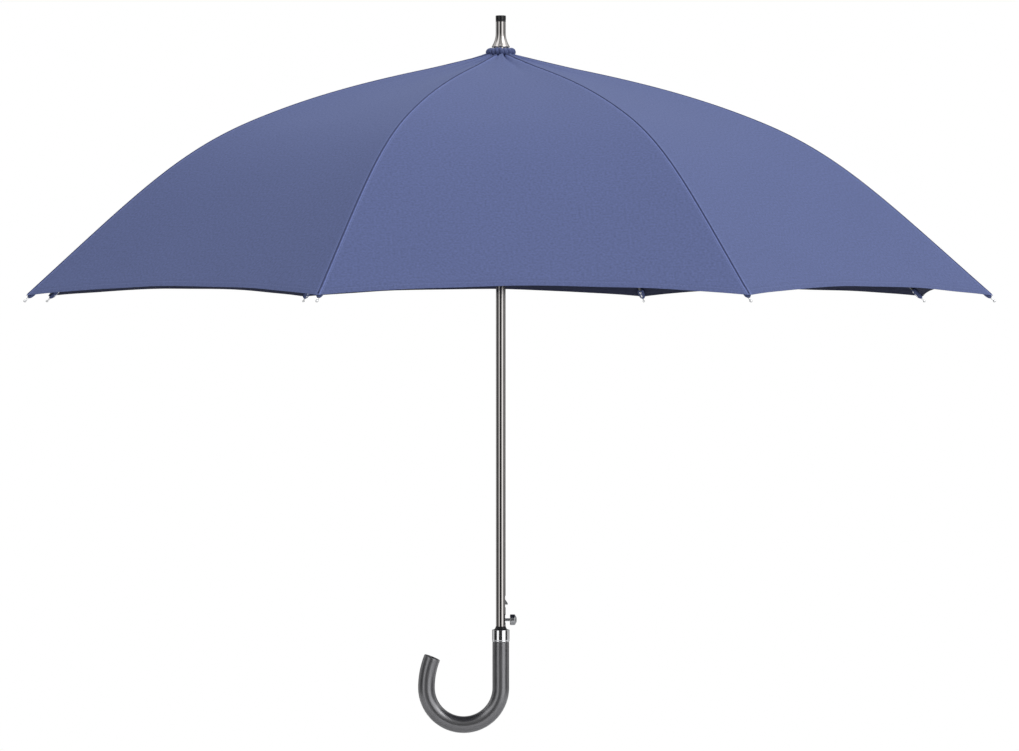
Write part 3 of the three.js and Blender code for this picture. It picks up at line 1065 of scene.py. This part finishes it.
@dataclass(frozen=True)
class Wrinkles:
    """The heights and reaches of a gore's wrinkles, in metres."""

    gather: float = 1.7 * MM
    gather_reach: float = 34 * MM
    spread: float = 0.6 * MM
    spread_reach: float = 100 * MM
    tuck: float = 1.7 * MM
    tuck_reach: float = 60 * MM
    pucker: float = 0.28 * MM
    pucker_reach: float = 11 * MM
    drag: float = 0.35 * MM
    drag_wave: float = 55 * MM
    corner: float = 0.9 * MM
    corner_reach: float = 50 * MM
    wave: float = 0.45 * MM
    wave_reach: float = 18 * MM

    def height(
        self,
        gore: int,
        across: np.ndarray,
        length: np.ndarray,
        from_rib: np.ndarray,
        from_hem: np.ndarray,
    ) -> np.ndarray:
        """How far the cloth stands out.

        Args:
            gore: the gore's number, which varies its wrinkles.
            across: -1 to 1 from rib to rib.
            length: the length down the rib line.
            from_rib: the distance to the nearer rib.
            from_hem: the distance to the hem.

        Returns:
            The height, which is 0 on the ribs.
        """
        phase = 1.9 * gore
        flat = 1 - across**2
        gather = self.gather * np.exp(-length / self.gather_reach)
        gather = gather + self.spread * np.exp(-length / self.spread_reach)
        crown = gather * (np.sin(5.1 * across + phase) + 0.35 * np.sin(11.3 * across))
        off_middle = (across - 0.55 * math.sin(2.3 * gore)) / 0.13
        tuck = self.tuck * np.exp(-(off_middle**2) - (length / self.tuck_reach) ** 2)
        drag = self.drag * np.sin(length / self.drag_wave + 2.2 * across + phase)
        corner = self.corner * np.exp(-(from_rib + from_hem) / self.corner_reach)
        corner = corner * np.sin((from_rib - from_hem) / (12 * MM))
        wave = self.wave * np.exp(-from_hem / self.wave_reach) * np.sin(9.0 * across + phase)
        near_seam = np.exp(-from_rib / self.pucker_reach) * (1 - np.exp(-from_rib / (2.2 * MM)))
        uneven = 0.6 + 0.4 * np.sin(length / (19 * MM))
        pucker = self.pucker * near_seam * uneven * np.sin(length / (3.6 * MM) + phase)
        return flat * (crown - tuck + drag + corner + wave) + pucker


@dataclass
class Canopy:
    """Eight gores of cloth, their seams and hems, the tip pockets and the tie strap."""

    curve: RibCurve = field(default_factory=RibCurve)
    wrinkles: Wrinkles = field(default_factory=Wrinkles)
    ribs: int = RIBS
    cloth: float = 0.34 * MM
    sag: float = 4.6 * MM
    hem_sag: float = 1.6 * MM
    columns: int = 32
    crown_start: float = 6.5 * MM
    cap_end: float = 56 * MM
    cap_rows: int = 26
    cap_lap: tuple[float, ...] = (0.6 * MM, 3.0 * MM, 6.0 * MM, 9.0 * MM)
    crown_rows: int = 24
    skirt_lap: tuple[float, ...] = (12 * MM, 6 * MM, 0.6 * MM)
    skirt_rows: int = 34
    lap_gap: float = 0.25 * MM
    hem_cut: float = 15 * MM
    hem_width: float = 10 * MM
    hem_thick: float = 0.95 * MM
    hem_rows: tuple[float, ...] = (9.4 * MM, 7.0 * MM, 4.6 * MM, 2.2 * MM, 0.7 * MM, 0.0)
    fold_lift: float = 3 * MM
    welt_section: tuple[tuple[float, float], ...] = tuple(
        in_mm((-1.1, -0.5), (-1.0, 0.05), (-0.55, 0.4), (0.0, 0.5), (0.55, 0.4), (1.0, 0.05), (1.1, -0.5))
    )
    welt_rows: int = 110
    welt_bend: float = 9 * MM
    pocket_long: float = 15 * MM
    pocket_past: float = 0.2 * MM
    pocket_drop: float = 2.9 * MM
    pocket_half: tuple[float, float] = (4.4 * MM, 2.7 * MM)
    pocket_narrows: float = 1.2 * MM
    strap_rib: int = 5
    strap_span: tuple[float, float] = (0.12, 0.255)
    strap_half: float = 10 * MM
    strap_grid: tuple[int, int] = (26, 9)
    stud_row: int = 22
    line: np.ndarray = field(init=False)
    knee: float = field(init=False)
    corner: float = field(init=False)
    half_pitch: float = field(init=False)

    def __post_init__(self) -> None:
        """Traces the rib line and places the corner of the cloth."""
        self.line, self.knee = self.curve.trace()
        self.corner = float(self.line[-1, 0]) - self.curve.corner_back
        self.half_pitch = math.pi / self.ribs

    def build(self) -> None:
        """Makes every cloth piece."""
        for gore in range(1, self.ribs + 1):
            self._gore(gore)
        for rib in range(1, self.ribs + 1):
            self._welt(rib)
            self._pocket(rib)
        self._strap()

    def spot(self, length: np.ndarray) -> tuple[np.ndarray, np.ndarray]:
        """Finds points on the rib line.

        Args:
            length: the length along it.

        Returns:
            The radius and the height.
        """
        radius = np.interp(length, self.line[:, 0], self.line[:, 1])
        height = np.interp(length, self.line[:, 0], self.line[:, 2])
        return radius, height

    def _gore(self, gore: int) -> None:
        """Makes one gore's six wings.

        Args:
            gore: its number; it spans the rib of that number and the next one.
        """
        across = -np.cos(math.pi * np.arange(self.columns + 1) / self.columns)
        end = self.corner - self.hem_cut * (1 - across**2)
        level = np.ones_like(end)
        cap = np.linspace(self.crown_start, self.cap_end, self.cap_rows)
        cap = np.concatenate([cap, self.cap_end + np.array(self.cap_lap)])
        crown = np.linspace(self.cap_end, self.knee, self.crown_rows)
        lap = self.knee - np.array(self.skirt_lap)
        fall = np.linspace(0, 1, self.skirt_rows)[:, None]
        skirt = self.knee + fall * (end - self.hem_width - 0.4 * MM - self.knee)
        hem = end - np.array(self.hem_rows)[:, None]
        rows = {
            Band.CAP: cap[:, None] * level,
            Band.CROWN: crown[:, None] * level,
            Band.SKIRT: np.vstack([lap[:, None] * level, skirt, hem]),
        }
        for band, length in rows.items():
            sheet = self._lay(gore, across, length, end)
            if band is Band.CAP:
                sheet.lower(length > self.cap_end, self.cloth + self.lap_gap)
            if band is Band.SKIRT:
                sheet.lower(length < self.knee, self.cloth + self.lap_gap)
            self._wing(gore, 1, band, sheet)
            self._wing(gore, -1, band, sheet)

    def _lay(self, gore: int, across: np.ndarray, length: np.ndarray, end: np.ndarray) -> Cloth:
        """Lays the cloth of one gore.

        Args:
            gore: the gore's number.
            across: -1 to 1 from rib to rib, one per column.
            length: the length down the rib line, rows by columns.
            end: the hem's length at each column.

        Returns:
            The cloth.
        """
        radius, height = self.spot(length)
        half_width = radius * math.sin(self.half_pitch)
        aside = across * half_width
        from_rib = (1 - np.abs(across)) * half_width
        from_hem = end - length
        down = np.clip(length / end.max(), 0, 1)
        dip = self.sag * np.sin(np.pi * down) ** 0.75 + self.hem_sag * down**6
        push = self.wrinkles.height(gore, across, length, from_rib, from_hem) - dip * (1 - across**2)
        middle = np.column_stack([self.line[:, 1] * math.cos(self.half_pitch), self.line[:, 2]])
        turn = unit(np.gradient(middle, axis=0))
        x = radius * math.cos(self.half_pitch) + np.interp(length, self.line[:, 0], -turn[:, 1]) * push
        z = height + np.interp(length, self.line[:, 0], turn[:, 0]) * push
        bearing = rib_bearing(gore) + self.half_pitch
        c, s = math.cos(bearing), math.sin(bearing)
        points = np.stack([x * c - aside * s, x * s + aside * c, z], axis=-1)
        normals = unit(np.cross(np.gradient(points, axis=0), np.gradient(points, axis=1)))
        return Cloth(points, normals, from_rib, from_hem, aside, length)

    def _wing(self, gore: int, side: int, band: Band, sheet: Cloth) -> None:
        """Cuts one wing from a gore's cloth and puts it on its rib.

        Args:
            gore: the gore's number.
            side: 1 for the half at the gore's own rib, or -1 for the half at the next rib.
            band: which of the gore's bands it belongs to.
            sheet: the gore's cloth.
        """
        middle = self.columns // 2
        cut = sheet.columns(slice(0, middle + 1) if side > 0 else slice(middle, None))
        rib = gore if side > 0 else gore % self.ribs + 1
        hand = "left" if side > 0 else "right"
        fold = band.value
        piece = self._shell(f"canopy_{band.name.lower()}_{gore}_{hand}", cut)
        settle(piece, f"{fold.body}{rib}", [f"canopy_panel_{gore}"])
        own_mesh(piece)
        self._declare(cut)

    def _declare(self, cut: Cloth) -> None:
        """Finds the steps between a wing's neighbouring points down and across, and keeps nothing.

        Args:
            cut: its cloth.
        """
        p = cut.points
        a, b = p[1:, :-1] - p[:-1, :-1], p[:-1, 1:] - p[:-1, :-1]

    def _shell(self, name: str, cut: Cloth) -> bpy.types.Object:
        """Gives a cloth piece its thickness, its two faces and its maps.

        Args:
            name: the piece's name.
            cut: its cloth.

        Returns:
            The piece.
        """
        hem = np.clip((self.hem_width - cut.from_hem) / (0.8 * MM), 0, 1)
        roll = np.clip(cut.from_hem / (0.9 * MM), 0.25, 1)
        extra = (self.hem_thick - self.cloth) * hem
        thick = (self.cloth + extra) * np.where(hem > 0, roll, 1.0)
        outside = cut.points + (0.32 * extra * roll)[..., None] * cut.normals
        inside = outside - thick[..., None] * cut.normals
        rows, cols = cut.length.shape
        count = rows * cols
        index = np.arange(count).reshape(rows, cols)
        a, b, c, d = (g.ravel() for g in (index[:-1, :-1], index[1:, :-1], index[1:, 1:], index[:-1, 1:]))
        top = np.column_stack([a, b, c, d])
        under = np.column_stack([d, c, b, a]) + count
        border = np.concatenate([index[0, :-1], index[:-1, -1], index[-1, :0:-1], index[:0:-1, 0]])
        ahead = np.roll(border, -1)
        rim = np.column_stack([border, ahead, ahead + count, border + count])
        faces = np.vstack([top, under, rim])
        spots = np.vstack([outside.reshape(-1, 3), inside.reshape(-1, 3)])
        mesh = bpy.data.meshes.new(name)
        mesh.from_pydata(spots.tolist(), [], faces.tolist())
        mesh.materials.append(Palette.NAVY.material())
        # The under faces take the darkened copy of the cloth, which paints the shade under the canopy.
        mesh.materials.append(Palette.LINING.material())
        mesh.polygons.foreach_set("material_index", [0] * len(top) + [1] * len(under) + [0] * len(rim))
        mesh.polygons.foreach_set("use_smooth", [True] * len(faces))
        corners = add_maps(mesh, cut.maps(2))
        normals = cut.normals.reshape(-1, 3)
        mesh.normals_split_custom_set(np.vstack([normals, -normals])[corners].tolist())
        made = bpy.data.objects.new(name, mesh)
        bpy.context.scene.collection.objects.link(made)
        return made

    def _ridge(self, rib: int, lengths: np.ndarray, aside: float, lift: float) -> np.ndarray:
        """A line beside a rib, on the cloth.

        Args:
            rib: the rib's number.
            lengths: where, along the rib line.
            aside: how far to the side, along the gore; the sign gives the side.
            lift: how far above the cloth.

        Returns:
            The line's points.
        """
        radius, height = self.spot(lengths)
        way = unit(np.gradient(np.column_stack([radius, height]), axis=0))
        out, tangent = rib_ways(rib)
        x = radius - abs(aside) * math.sin(self.half_pitch) - way[:, 1] * lift
        z = height + way[:, 0] * lift
        return np.outer(x, out) + aside * math.cos(self.half_pitch) * tangent + np.outer(z, UP)

    def _welt(self, rib: int) -> None:
        """Makes the felled seam over a rib: a low rounded welt with a stitched face.

        Args:
            rib: the rib's number.
        """
        lengths = np.linspace(8 * MM, self.corner - 2 * MM, self.welt_rows)
        grid = np.stack([self._ridge(rib, lengths, w, h) for w, h in self.welt_section], axis=1)
        sides = len(self.welt_section)
        body = Body()
        rings = [body.ring(row) for row in grid]
        for first, second in zip(rings, rings[1:]):
            body.skin(second, first, sides)
        body.faces.append(tuple(range(sides)))
        body.faces.append(tuple(range(rings[-1] + sides - 1, rings[-1] - 1, -1)))
        # The welt takes the darkened cloth that paints the shade along the seam.
        piece = body.build(f"seam_welt_{rib}", Palette.WELT, False)
        aside, length = np.meshgrid([w for w, _ in self.welt_section], lengths)
        cloth = Cloth(grid, grid, np.abs(aside), self.corner - length, aside, length)
        add_maps(piece.data, cloth.maps())
        near = self._ridge(rib, np.array([self.knee - self.welt_bend, self.knee + self.welt_bend]), 0.0, 0.0)
        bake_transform(piece)
        log.info("%s bends over the knee of rib %d", piece.name, rib)

    def _pocket(self, rib: int) -> None:
        """Makes the small sewn pocket that holds a rib's tip.

        Args:
            rib: the rib's number.
        """
        rows, sides = 14, 28
        lengths = np.linspace(self.corner - self.pocket_long, self.corner + self.pocket_past, rows)
        centre = self._ridge(rib, lengths, 0.0, -self.pocket_drop)
        _, tangent = rib_ways(rib)
        ahead = unit(np.gradient(centre, axis=0))
        angles = 2 * math.pi * np.arange(sides) / sides
        body = Body()
        rings = []
        for k, share in enumerate(np.linspace(0, 1, rows)):
            rounding = math.sqrt(max(1 - max(share - 0.62, 0) ** 2 / 0.38**2, 0.08))
            swell = rounding * min(1.0, 0.72 + share)
            crease = 1 + 0.035 * np.sin(5 * angles + rib) * math.sin(9 * share)
            wide = (self.pocket_half[0] - self.pocket_narrows * share) * swell * crease
            deep = self.pocket_half[1] * swell * crease
            lifted = np.cross(ahead[k], tangent)
            lifted *= math.copysign(1.0, lifted[2])
            ring = np.outer(wide * np.cos(angles), tangent) + np.outer(deep * np.sin(angles), lifted)
            rings.append(body.ring(centre[k] + ring))
        body.tube(rings, sides)
        # The tip's gathered cloth takes the darker copy that paints the shade in its creases.
        piece = body.build(f"tip_pocket_{rib}", Palette.POCKET, False)
        map_by_position(piece)
        settle(piece, f"rib_end_{rib}")

    def _strap(self) -> None:
        """Makes the tie strap that hangs on the rear seam, with its press stud."""
        rows, cols = self.strap_grid
        half = self.strap_half
        lengths = np.linspace(self.knee + self.strap_span[0], self.knee + self.strap_span[1], rows)
        steps = np.linspace(-1, 1, cols)
        top = np.stack([self._ridge(self.strap_rib, lengths, w * half, 1.5 * MM) for w in steps], axis=1)
        slack = 0.4 * MM * np.cos(6 * math.pi * np.linspace(0, 1, rows))[:, None]
        top[..., 2] += 1.3 * MM + 0.9 * MM * steps**2 - slack
        normals = unit(np.cross(np.gradient(top, axis=0), np.gradient(top, axis=1)))
        aside, length = np.meshgrid(steps * half, lengths)
        far = np.full(aside.shape, 0.05)
        piece = self._shell(
            "tie_strap_band", Cloth(top, normals, half - np.abs(aside) + 2.0 * MM, far, aside, length)
        )
        body = f"rib_end_{self.strap_rib}"
        settle(piece, body, ["tie_strap"])
        spot = (self.stud_row, cols // 2)
        dome = in_mm((0.0, -1.0), (3.6, -1.0), (4.8, -0.2), (4.6, 0.7), (3.4, 1.5), (1.6, 1.9), (0.0, 2.0))
        stud = turned(
            "strap_stud",
            Palette.STEEL,
            rounded(dome, 0.3 * MM),
            40,
            Vector(top[spot] + 0.1 * MM * normals[spot]),
            Vector(normals[spot]),
        )
        settle(stud, body)


def map_by_position(piece: bpy.types.Object) -> None:
    """Gives a small cloth piece its maps from where its points lie, with no seam or hem near.

    Args:
        piece: the piece.
    """
    spots = np.array([v.co for v in piece.data.vertices])
    radius = np.hypot(spots[:, 0], spots[:, 1])
    turn = np.arctan2(spots[:, 1], spots[:, 0])
    cloth = np.column_stack([turn * radius.mean(), spots[:, 2] + radius])
    add_maps(piece.data, {"cloth": cloth, "edge": np.full_like(cloth, 0.05)})


@dataclass
class Rosette:
    """The gathered ring of canopy cloth that hides the top notch."""

    radius: float = 10.6 * MM
    foot: float = 0.6196
    top: float = 0.6286
    fold_out: float = 3.9 * MM
    hole: float = 5.4 * MM
    pleats: int = 19
    sides: int = 228
    rows: int = 34

    def build(self) -> None:
        """Makes the ring."""
        height = 0.5 * (self.top - self.foot)
        middle = 0.5 * (self.top + self.foot)
        turn = 2 * math.pi * np.arange(self.sides) / self.sides
        body = Body()
        rings = []
        for k in range(self.rows):
            around = 2 * math.pi * k / self.rows
            lean = self.pleats * turn + 1.3 * math.sin(around) + 0.9 * np.sin(3 * turn + 0.4)
            crease = 1 - 2 * np.abs(np.sin(0.5 * lean)) ** 0.7
            loose = 0.5 * np.sin(4 * turn + 2.0) + 0.35 * np.sin(7 * turn + around)
            out = self.fold_out * math.cos(around) * (0.93 - 0.2 * crease + 0.1 * loose)
            radius = np.maximum(self.radius + 0.35 * MM * loose + out, self.hole)
            rise = middle + height * math.sin(around) * (0.86 - 0.14 * crease) + 0.45 * MM * loose
            rings.append(body.ring(np.column_stack([radius * np.cos(turn), radius * np.sin(turn), rise])))
        for first, second in zip(rings, rings[1:] + rings[:1]):
            body.skin(first, second, self.sides)
        # The ruffle takes the darker copy of the cloth that paints the shade in its folds.
        piece = body.build("crown_ruffle", Palette.POCKET, False)
        map_by_position(piece)
        settle(piece, "stick", ["crown_rosette"])


# ---------------------------------------------------------------- stick


@dataclass
class Shaft:
    """The slotted tube, its ferrule and cap."""

    radius: float = 4.95 * MM
    bore: float = 4.1 * MM
    slot_half: float = 1.6 * MM
    window_half: float = 2.1 * MM
    slot: tuple[float, float] = (0.112, 0.5247)
    windows: tuple[tuple[float, float], ...] = ((0.0424, 0.0504), (0.058, 0.070))
    flare: float = 9.2 * MM
    throat: float = 5.1 * MM
    bell_tall: float = 14 * MM
    cap_radius: float = 5.25 * MM
    groove: float = 0.18 * MM

    def build(self) -> None:
        """Makes the tube, the ferrule and its cap."""
        self._tube()
        self._ferrule()

    def _tube(self) -> None:
        """Makes the tube with its slot and windows cut through."""
        low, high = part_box("shaft")
        cuts = [low.z, *(z for w in self.windows for z in w), *self.slot, high.z]
        rows = sorted(set(cuts + list(np.linspace(low.z, high.z, 24))))
        back, front = 0.5 * math.pi, 0.0
        slot_turn = math.asin(self.slot_half / self.radius)
        window_turn = math.asin(self.window_half / self.radius)
        edges = [back - slot_turn, back + slot_turn, front - window_turn, front + window_turn]
        turns = sorted({round(a % (2 * math.pi), 9) for a in edges + [k * math.pi / 32 for k in range(64)]})
        count = len(turns)
        shape = np.array([(math.cos(a), math.sin(a)) for a in turns])
        body = Body()
        walls = [
            [body.ring(np.column_stack([r * shape, np.full(count, z)])) for z in rows]
            for r in (self.radius, self.bore)
        ]
        kept = np.ones((len(rows) - 1, count), bool)
        for r in range(len(rows) - 1):
            z = 0.5 * (rows[r] + rows[r + 1])
            for k in range(count):
                step = (turns[(k + 1) % count] - turns[k]) % (2 * math.pi)
                a = (turns[k] + 0.5 * step + math.pi) % (2 * math.pi) - math.pi
                in_slot = abs(a - back) < slot_turn and self.slot[0] < z < self.slot[1]
                in_window = abs(a) < window_turn and any(w[0] < z < w[1] for w in self.windows)
                kept[r, k] = not (in_slot or in_window)
        for r, k in zip(*np.nonzero(kept)):
            self._cell(body, walls, kept, int(r), int(k), count)
        settle(body.build("shaft_tube", Palette.BLACK_NICKEL), "stick", ["shaft"])

    @staticmethod
    def _cell(
        body: Body, walls: list[list[int]], kept: np.ndarray, row: int, column: int, count: int
    ) -> None:
        """Adds one cell of the tube's wall, and its edges where the next cell is cut away.

        Args:
            body: the mesh in the making.
            walls: the rings of the outside and of the bore.
            kept: which cells stay.
            row: the cell's row.
            column: the cell's column.
            count: the number of columns.
        """
        after = (column + 1) % count
        out, bore = walls
        a, b = out[row] + column, out[row] + after
        c, d = out[row + 1] + after, out[row + 1] + column
        e, f = bore[row] + column, bore[row] + after
        g, h = bore[row + 1] + after, bore[row + 1] + column
        body.faces += [(a, b, c, d), (h, g, f, e)]
        if row == 0 or not kept[row - 1, column]:
            body.faces.append((b, a, e, f))
        if row == len(kept) - 1 or not kept[row + 1, column]:
            body.faces.append((d, c, g, h))
        if not kept[row, after]:
            body.faces.append((c, b, f, g))
        if not kept[row, column - 1]:
            body.faces.append((a, d, h, e))

    def _ferrule(self) -> None:
        """Makes the belled ferrule and its black cap."""
        low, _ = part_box("ferrule")
        cap_low, cap_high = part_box("ferrule_cap")
        throat = self.throat
        bell = [
            (throat + (self.flare - throat) * (1 - t) ** 2.1, low.z + 0.8 * MM + self.bell_tall * t)
            for t in np.linspace(0, 1, 14)
        ]
        profile = [
            (5.3 * MM, low.z),
            (self.flare - 0.3 * MM, low.z),
            (self.flare, low.z + 0.35 * MM),
            *bell,
            (throat, cap_low.z - 0.4 * MM),
            (throat - 0.3 * MM, cap_low.z - 0.1 * MM),
            (0.0, cap_low.z - 0.1 * MM),
        ]
        ferrule = turned("ferrule_bell", Palette.BLACK_NICKEL, profile, 96)
        settle(ferrule, "stick", ["ferrule"])
        rim = self.cap_radius
        cap = [
            (0.0, cap_low.z),
            (rim, cap_low.z),
            (rim, cap_low.z + 0.9 * MM),
            (rim - self.groove, cap_low.z + 1.1 * MM),
            (rim - self.groove, cap_low.z + 1.5 * MM),
            (rim, cap_low.z + 1.7 * MM),
            (rim, cap_high.z),
            (0.0, cap_high.z),
        ]
        ferrule_end = turned("ferrule_end", Palette.CAP, rounded(cap, 0.7 * MM), 72)
        settle(ferrule_end, "stick", ["ferrule_cap"])


@dataclass
class Grip:
    """The crook handle, its collar, its end plug and the gland above the collar.

    The two edges hold (distance from the end, cut into the radius) points.
    """

    radius: float = 8.5 * MM
    crook_radius: float = 38 * MM
    crook_height: float = -24 * MM
    curl_radius: float = 83 * MM
    curl_turn: float = 22.0
    lip: float = 1.5 * MM
    top_edge: tuple[tuple[float, float], ...] = tuple(in_mm((0.0, 0.7), (0.12, 0.25), (0.5, 0.05)))
    end_edge: tuple[tuple[float, float], ...] = tuple(in_mm((0.45, 0.1), (0.12, 0.4), (0.0, 0.75)))
    collar_radius: float = 8.85 * MM
    collar_bore: float = 5.35 * MM
    collar_groove: float = 0.22 * MM
    gland_tall: float = 1.8 * MM

    def build(self) -> None:
        """Makes the handle and its fittings."""
        self._crook()
        self._collar()

    def path(self, stations: Sequence[float], top: float) -> np.ndarray:
        """Points of the handle's centreline.

        Args:
            stations: lengths down from the collar.
            top: the height where it starts.

        Returns:
            The points.
        """
        straight = top - self.crook_height
        half = math.pi * self.crook_radius
        points = []
        for s in stations:
            if s < straight:
                points.append((0.0, 0.0, top - s))
            elif s < straight + half:
                a = (s - straight) / self.crook_radius
                x = self.crook_radius * (math.cos(a) - 1)
                points.append((x, 0.0, self.crook_height - self.crook_radius * math.sin(a)))
            else:
                a = (s - straight - half) / self.curl_radius
                x = self.curl_radius * (1 - math.cos(a)) - 2 * self.crook_radius
                points.append((x, 0.0, self.crook_height + self.curl_radius * math.sin(a)))
        return np.array(points)

    def _crook(self) -> None:
        """Makes the crook with a rounded lip, and the plug sunk in its end."""
        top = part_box("handle")[1].z
        curl = math.radians(self.curl_turn) * self.curl_radius
        total = top - self.crook_height + math.pi * self.crook_radius + curl
        long = np.linspace(1.2 * MM, total - 1.0 * MM, 150)
        stations = [*(d for d, _ in self.top_edge), *long, *(total - d for d, _ in self.end_edge)]
        cuts = [*(c for _, c in self.top_edge), *np.zeros(len(long)), *(c for _, c in self.end_edge)]
        path = self.path(stations, top)
        ways = unit(np.gradient(path, axis=0))
        end, way = path[-1], ways[-1]
        inner = self.radius - self.lip
        mouth = [(0.0, inner + 0.1 * MM), (0.25 * MM, inner), (1.4 * MM, inner), (5.5 * MM, inner)]
        crook = swept(
            "crook",
            Palette.GRIP,
            np.vstack([path, *(end - depth * way for depth, _ in mouth)]),
            [*(self.radius - c for c in cuts), *(r for _, r in mouth)],
            64,
            (0.0, 1.0, 0.0),
            np.vstack([ways, *(way for _ in mouth)]),
            True,
        )
        settle(crook, "stick", ["handle"])
        disc = in_mm((0.0, -4.6), (6.5, -4.6), (6.5, -2.0), (5.9, -1.5), (3.2, -1.35), (0.0, -1.3))
        plug = turned("crook_plug", Palette.BLACK, rounded(disc, 0.4 * MM), 56, Vector(end), Vector(way))
        settle(plug, "stick", ["handle_end_cap"])

    def _collar(self) -> None:
        """Makes the bright collar and the dark gland that closes its top."""
        low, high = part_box("handle_collar")
        rim, bore, groove = self.collar_radius, self.collar_bore, self.collar_radius - self.collar_groove
        shoulder = high.z - self.gland_tall
        profile = [
            (bore, low.z),
            (rim, low.z),
            (rim, low.z + 1.0 * MM),
            (groove, low.z + 1.25 * MM),
            (groove, low.z + 1.6 * MM),
            (rim, low.z + 1.85 * MM),
            (rim, shoulder),
            (bore, shoulder),
            (bore, low.z),
        ]
        ring = [*rounded(profile, 0.35 * MM)[:-1], np.array(profile[0])]
        collar = turned("collar_ring", Palette.CHROME, ring, 96)
        settle(collar, "stick", ["handle_collar"])
        cone = in_mm((5.0, 0.0), (6.9, 0.0), (6.7, 0.5), (5.9, 1.3), (5.35, 2.6), (5.0, 3.6), (5.0, 0.0))
        gland = turned("collar_gland", Palette.BLACK, [(r, shoulder + h) for r, h in cone], 72)
        settle(gland, "stick")


@dataclass
class Mechanism:
    """The catch's button, the spring, and the ribs' small turned parts."""

    button_height: float = 45.4 * MM
    coils: int = 62
    coil_steps: int = 14
    wire: float = 0.36 * MM
    coil_radius: float = 3.2 * MM

    def build(self) -> None:
        """Makes the pieces and dresses the CAD nodes that stay."""
        self._button()
        self._spring()
        for rib in range(1, RIBS + 1):
            self._tip(rib)
            self._rivet(rib)
        self._dress()

    def _button(self) -> None:
        """Makes the domed release button on its stem."""
        dome = in_mm(
            (0.0, 3.7),
            (1.45, 3.7),
            (1.45, 9.3),
            (4.9, 9.35),
            (5.5, 9.9),
            (5.5, 14.1),
            (4.9, 14.8),
            (4.2, 14.9),
            (3.6, 15.5),
            (2.0, 16.1),
            (0.0, 16.25),
        )
        spot = Vector((0.0, 0.0, self.button_height))
        way = Vector((1.0, 0.0, 0.0))
        button = turned("button_dome", Palette.BUTTON, rounded(dome, 0.35 * MM), 64, spot, way)
        settle(button, "catch", ["release_button"])

    def _spring(self) -> None:
        """Makes the opening spring inside the shaft."""
        low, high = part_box("opening_spring")
        steps = self.coil_steps * self.coils
        t = np.linspace(0, 1, steps)
        turn = 2 * math.pi * self.coils * t
        rise = low.z + self.wire + (high.z - low.z - 2 * self.wire) * t
        path = np.column_stack([self.coil_radius * np.cos(turn), self.coil_radius * np.sin(turn), rise])
        piece = swept("coil_spring", Palette.STEEL, path, [self.wire] * steps, 7, (0.0, 0.0, 1.0))
        settle(piece, "stick", ["opening_spring"])
        tall = high.z - low.z
        left = tall + joint_named("runner_slide")["range_m"][0]
        left / tall
        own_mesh(piece)

    @staticmethod
    def _tip(rib: int) -> None:
        """Makes a rib's bright pin with its small ball.

        Args:
            rib: the rib's number.
        """
        curve = RibCurve()
        slope = math.radians(curve.tip_slope)
        out, _ = rib_ways(rib)
        way = math.cos(slope) * out - math.sin(slope) * UP
        end = curve.tip[0] * out + curve.tip[1] * UP
        ball = [(1.35 * math.sin(a), -1.35 - 1.35 * math.cos(a)) for a in np.linspace(0.6, math.pi, 12)]
        stem = [(0.0, -19.0), (2.3, -19.0), (2.5, -12.0), (2.2, -9.4), (1.25, -8.6), (0.85, -7.8)]
        profile = in_mm(*stem, (0.72, -3.0), *ball)
        tip = turned(f"tip_pin_{rib}", Palette.CHROME, profile, 28, Vector(end), Vector(way))
        settle(tip, f"rib_end_{rib}", [f"rib_tip_{rib}"])

    @staticmethod
    def _rivet(rib: int) -> None:
        """Makes the two heads of a knee rivet, on one shank.

        Args:
            rib: the rib's number.
        """
        joint = joint_named(f"rib_flex_{rib}")
        head = [(0.0, -3.2), (0.9, -3.15), (1.45, -2.8), (1.5, -2.5), (0.7, -2.5)]
        profile = in_mm(*head, *((r, -h) for r, h in reversed(head)))
        spot, way = Vector(joint["pos_m"]), Vector(joint["axis"])
        rivet = turned(f"knee_rivet_{rib}", Palette.STEEL, profile, 24, spot, way)
        settle(rivet, f"rib_{rib}")

    @staticmethod
    def _dress() -> None:
        """Gives the CAD nodes that stay their finishes, with softened edges on the moulded ones."""
        by_slot = {
            "black_plastic": Palette.BLACK,
            "rib_steel": Palette.RIB,
            "steel": Palette.STEEL,
            "dark_chrome": Palette.BLACK_NICKEL,
            "bright_chrome": Palette.CHROME,
            "soft_grey_grip": Palette.GRIP,
            # The hidden CAD panels take the darkened cloth that paints the shade under the canopy.
            "navy_fabric": Palette.LINING,
        }
        for entry in frame["record"]["subparts"]:
            node = frame["nodes"][entry["node"]]
            finish = by_slot[entry["material_slot"]]
            node.data.materials.clear()
            node.data.materials.append(finish.material())
            if not node.hide_render:
                edge = node.modifiers.new("edge", "BEVEL")
                edge.width = 0.12 * MM
                edge.segments = 2
                edge.limit_method = "ANGLE"
                edge.angle_limit = math.radians(50)


def main() -> None:
    """Builds the umbrella in order."""
    logging.basicConfig(level=logging.INFO, format="%(name)s: %(message)s")
    bpy.context.scene.view_settings.view_transform = "Standard"
    studio = Studio()
    studio.make_camera()
    studio.make_floor()
    studio.make_world()
    studio.make_lights()
    for part in (Canopy(), Rosette(), Shaft(), Grip(), Mechanism()):
        log.info("building %s", type(part).__name__)
        part.build()


if __name__ == "__main__":
    main()
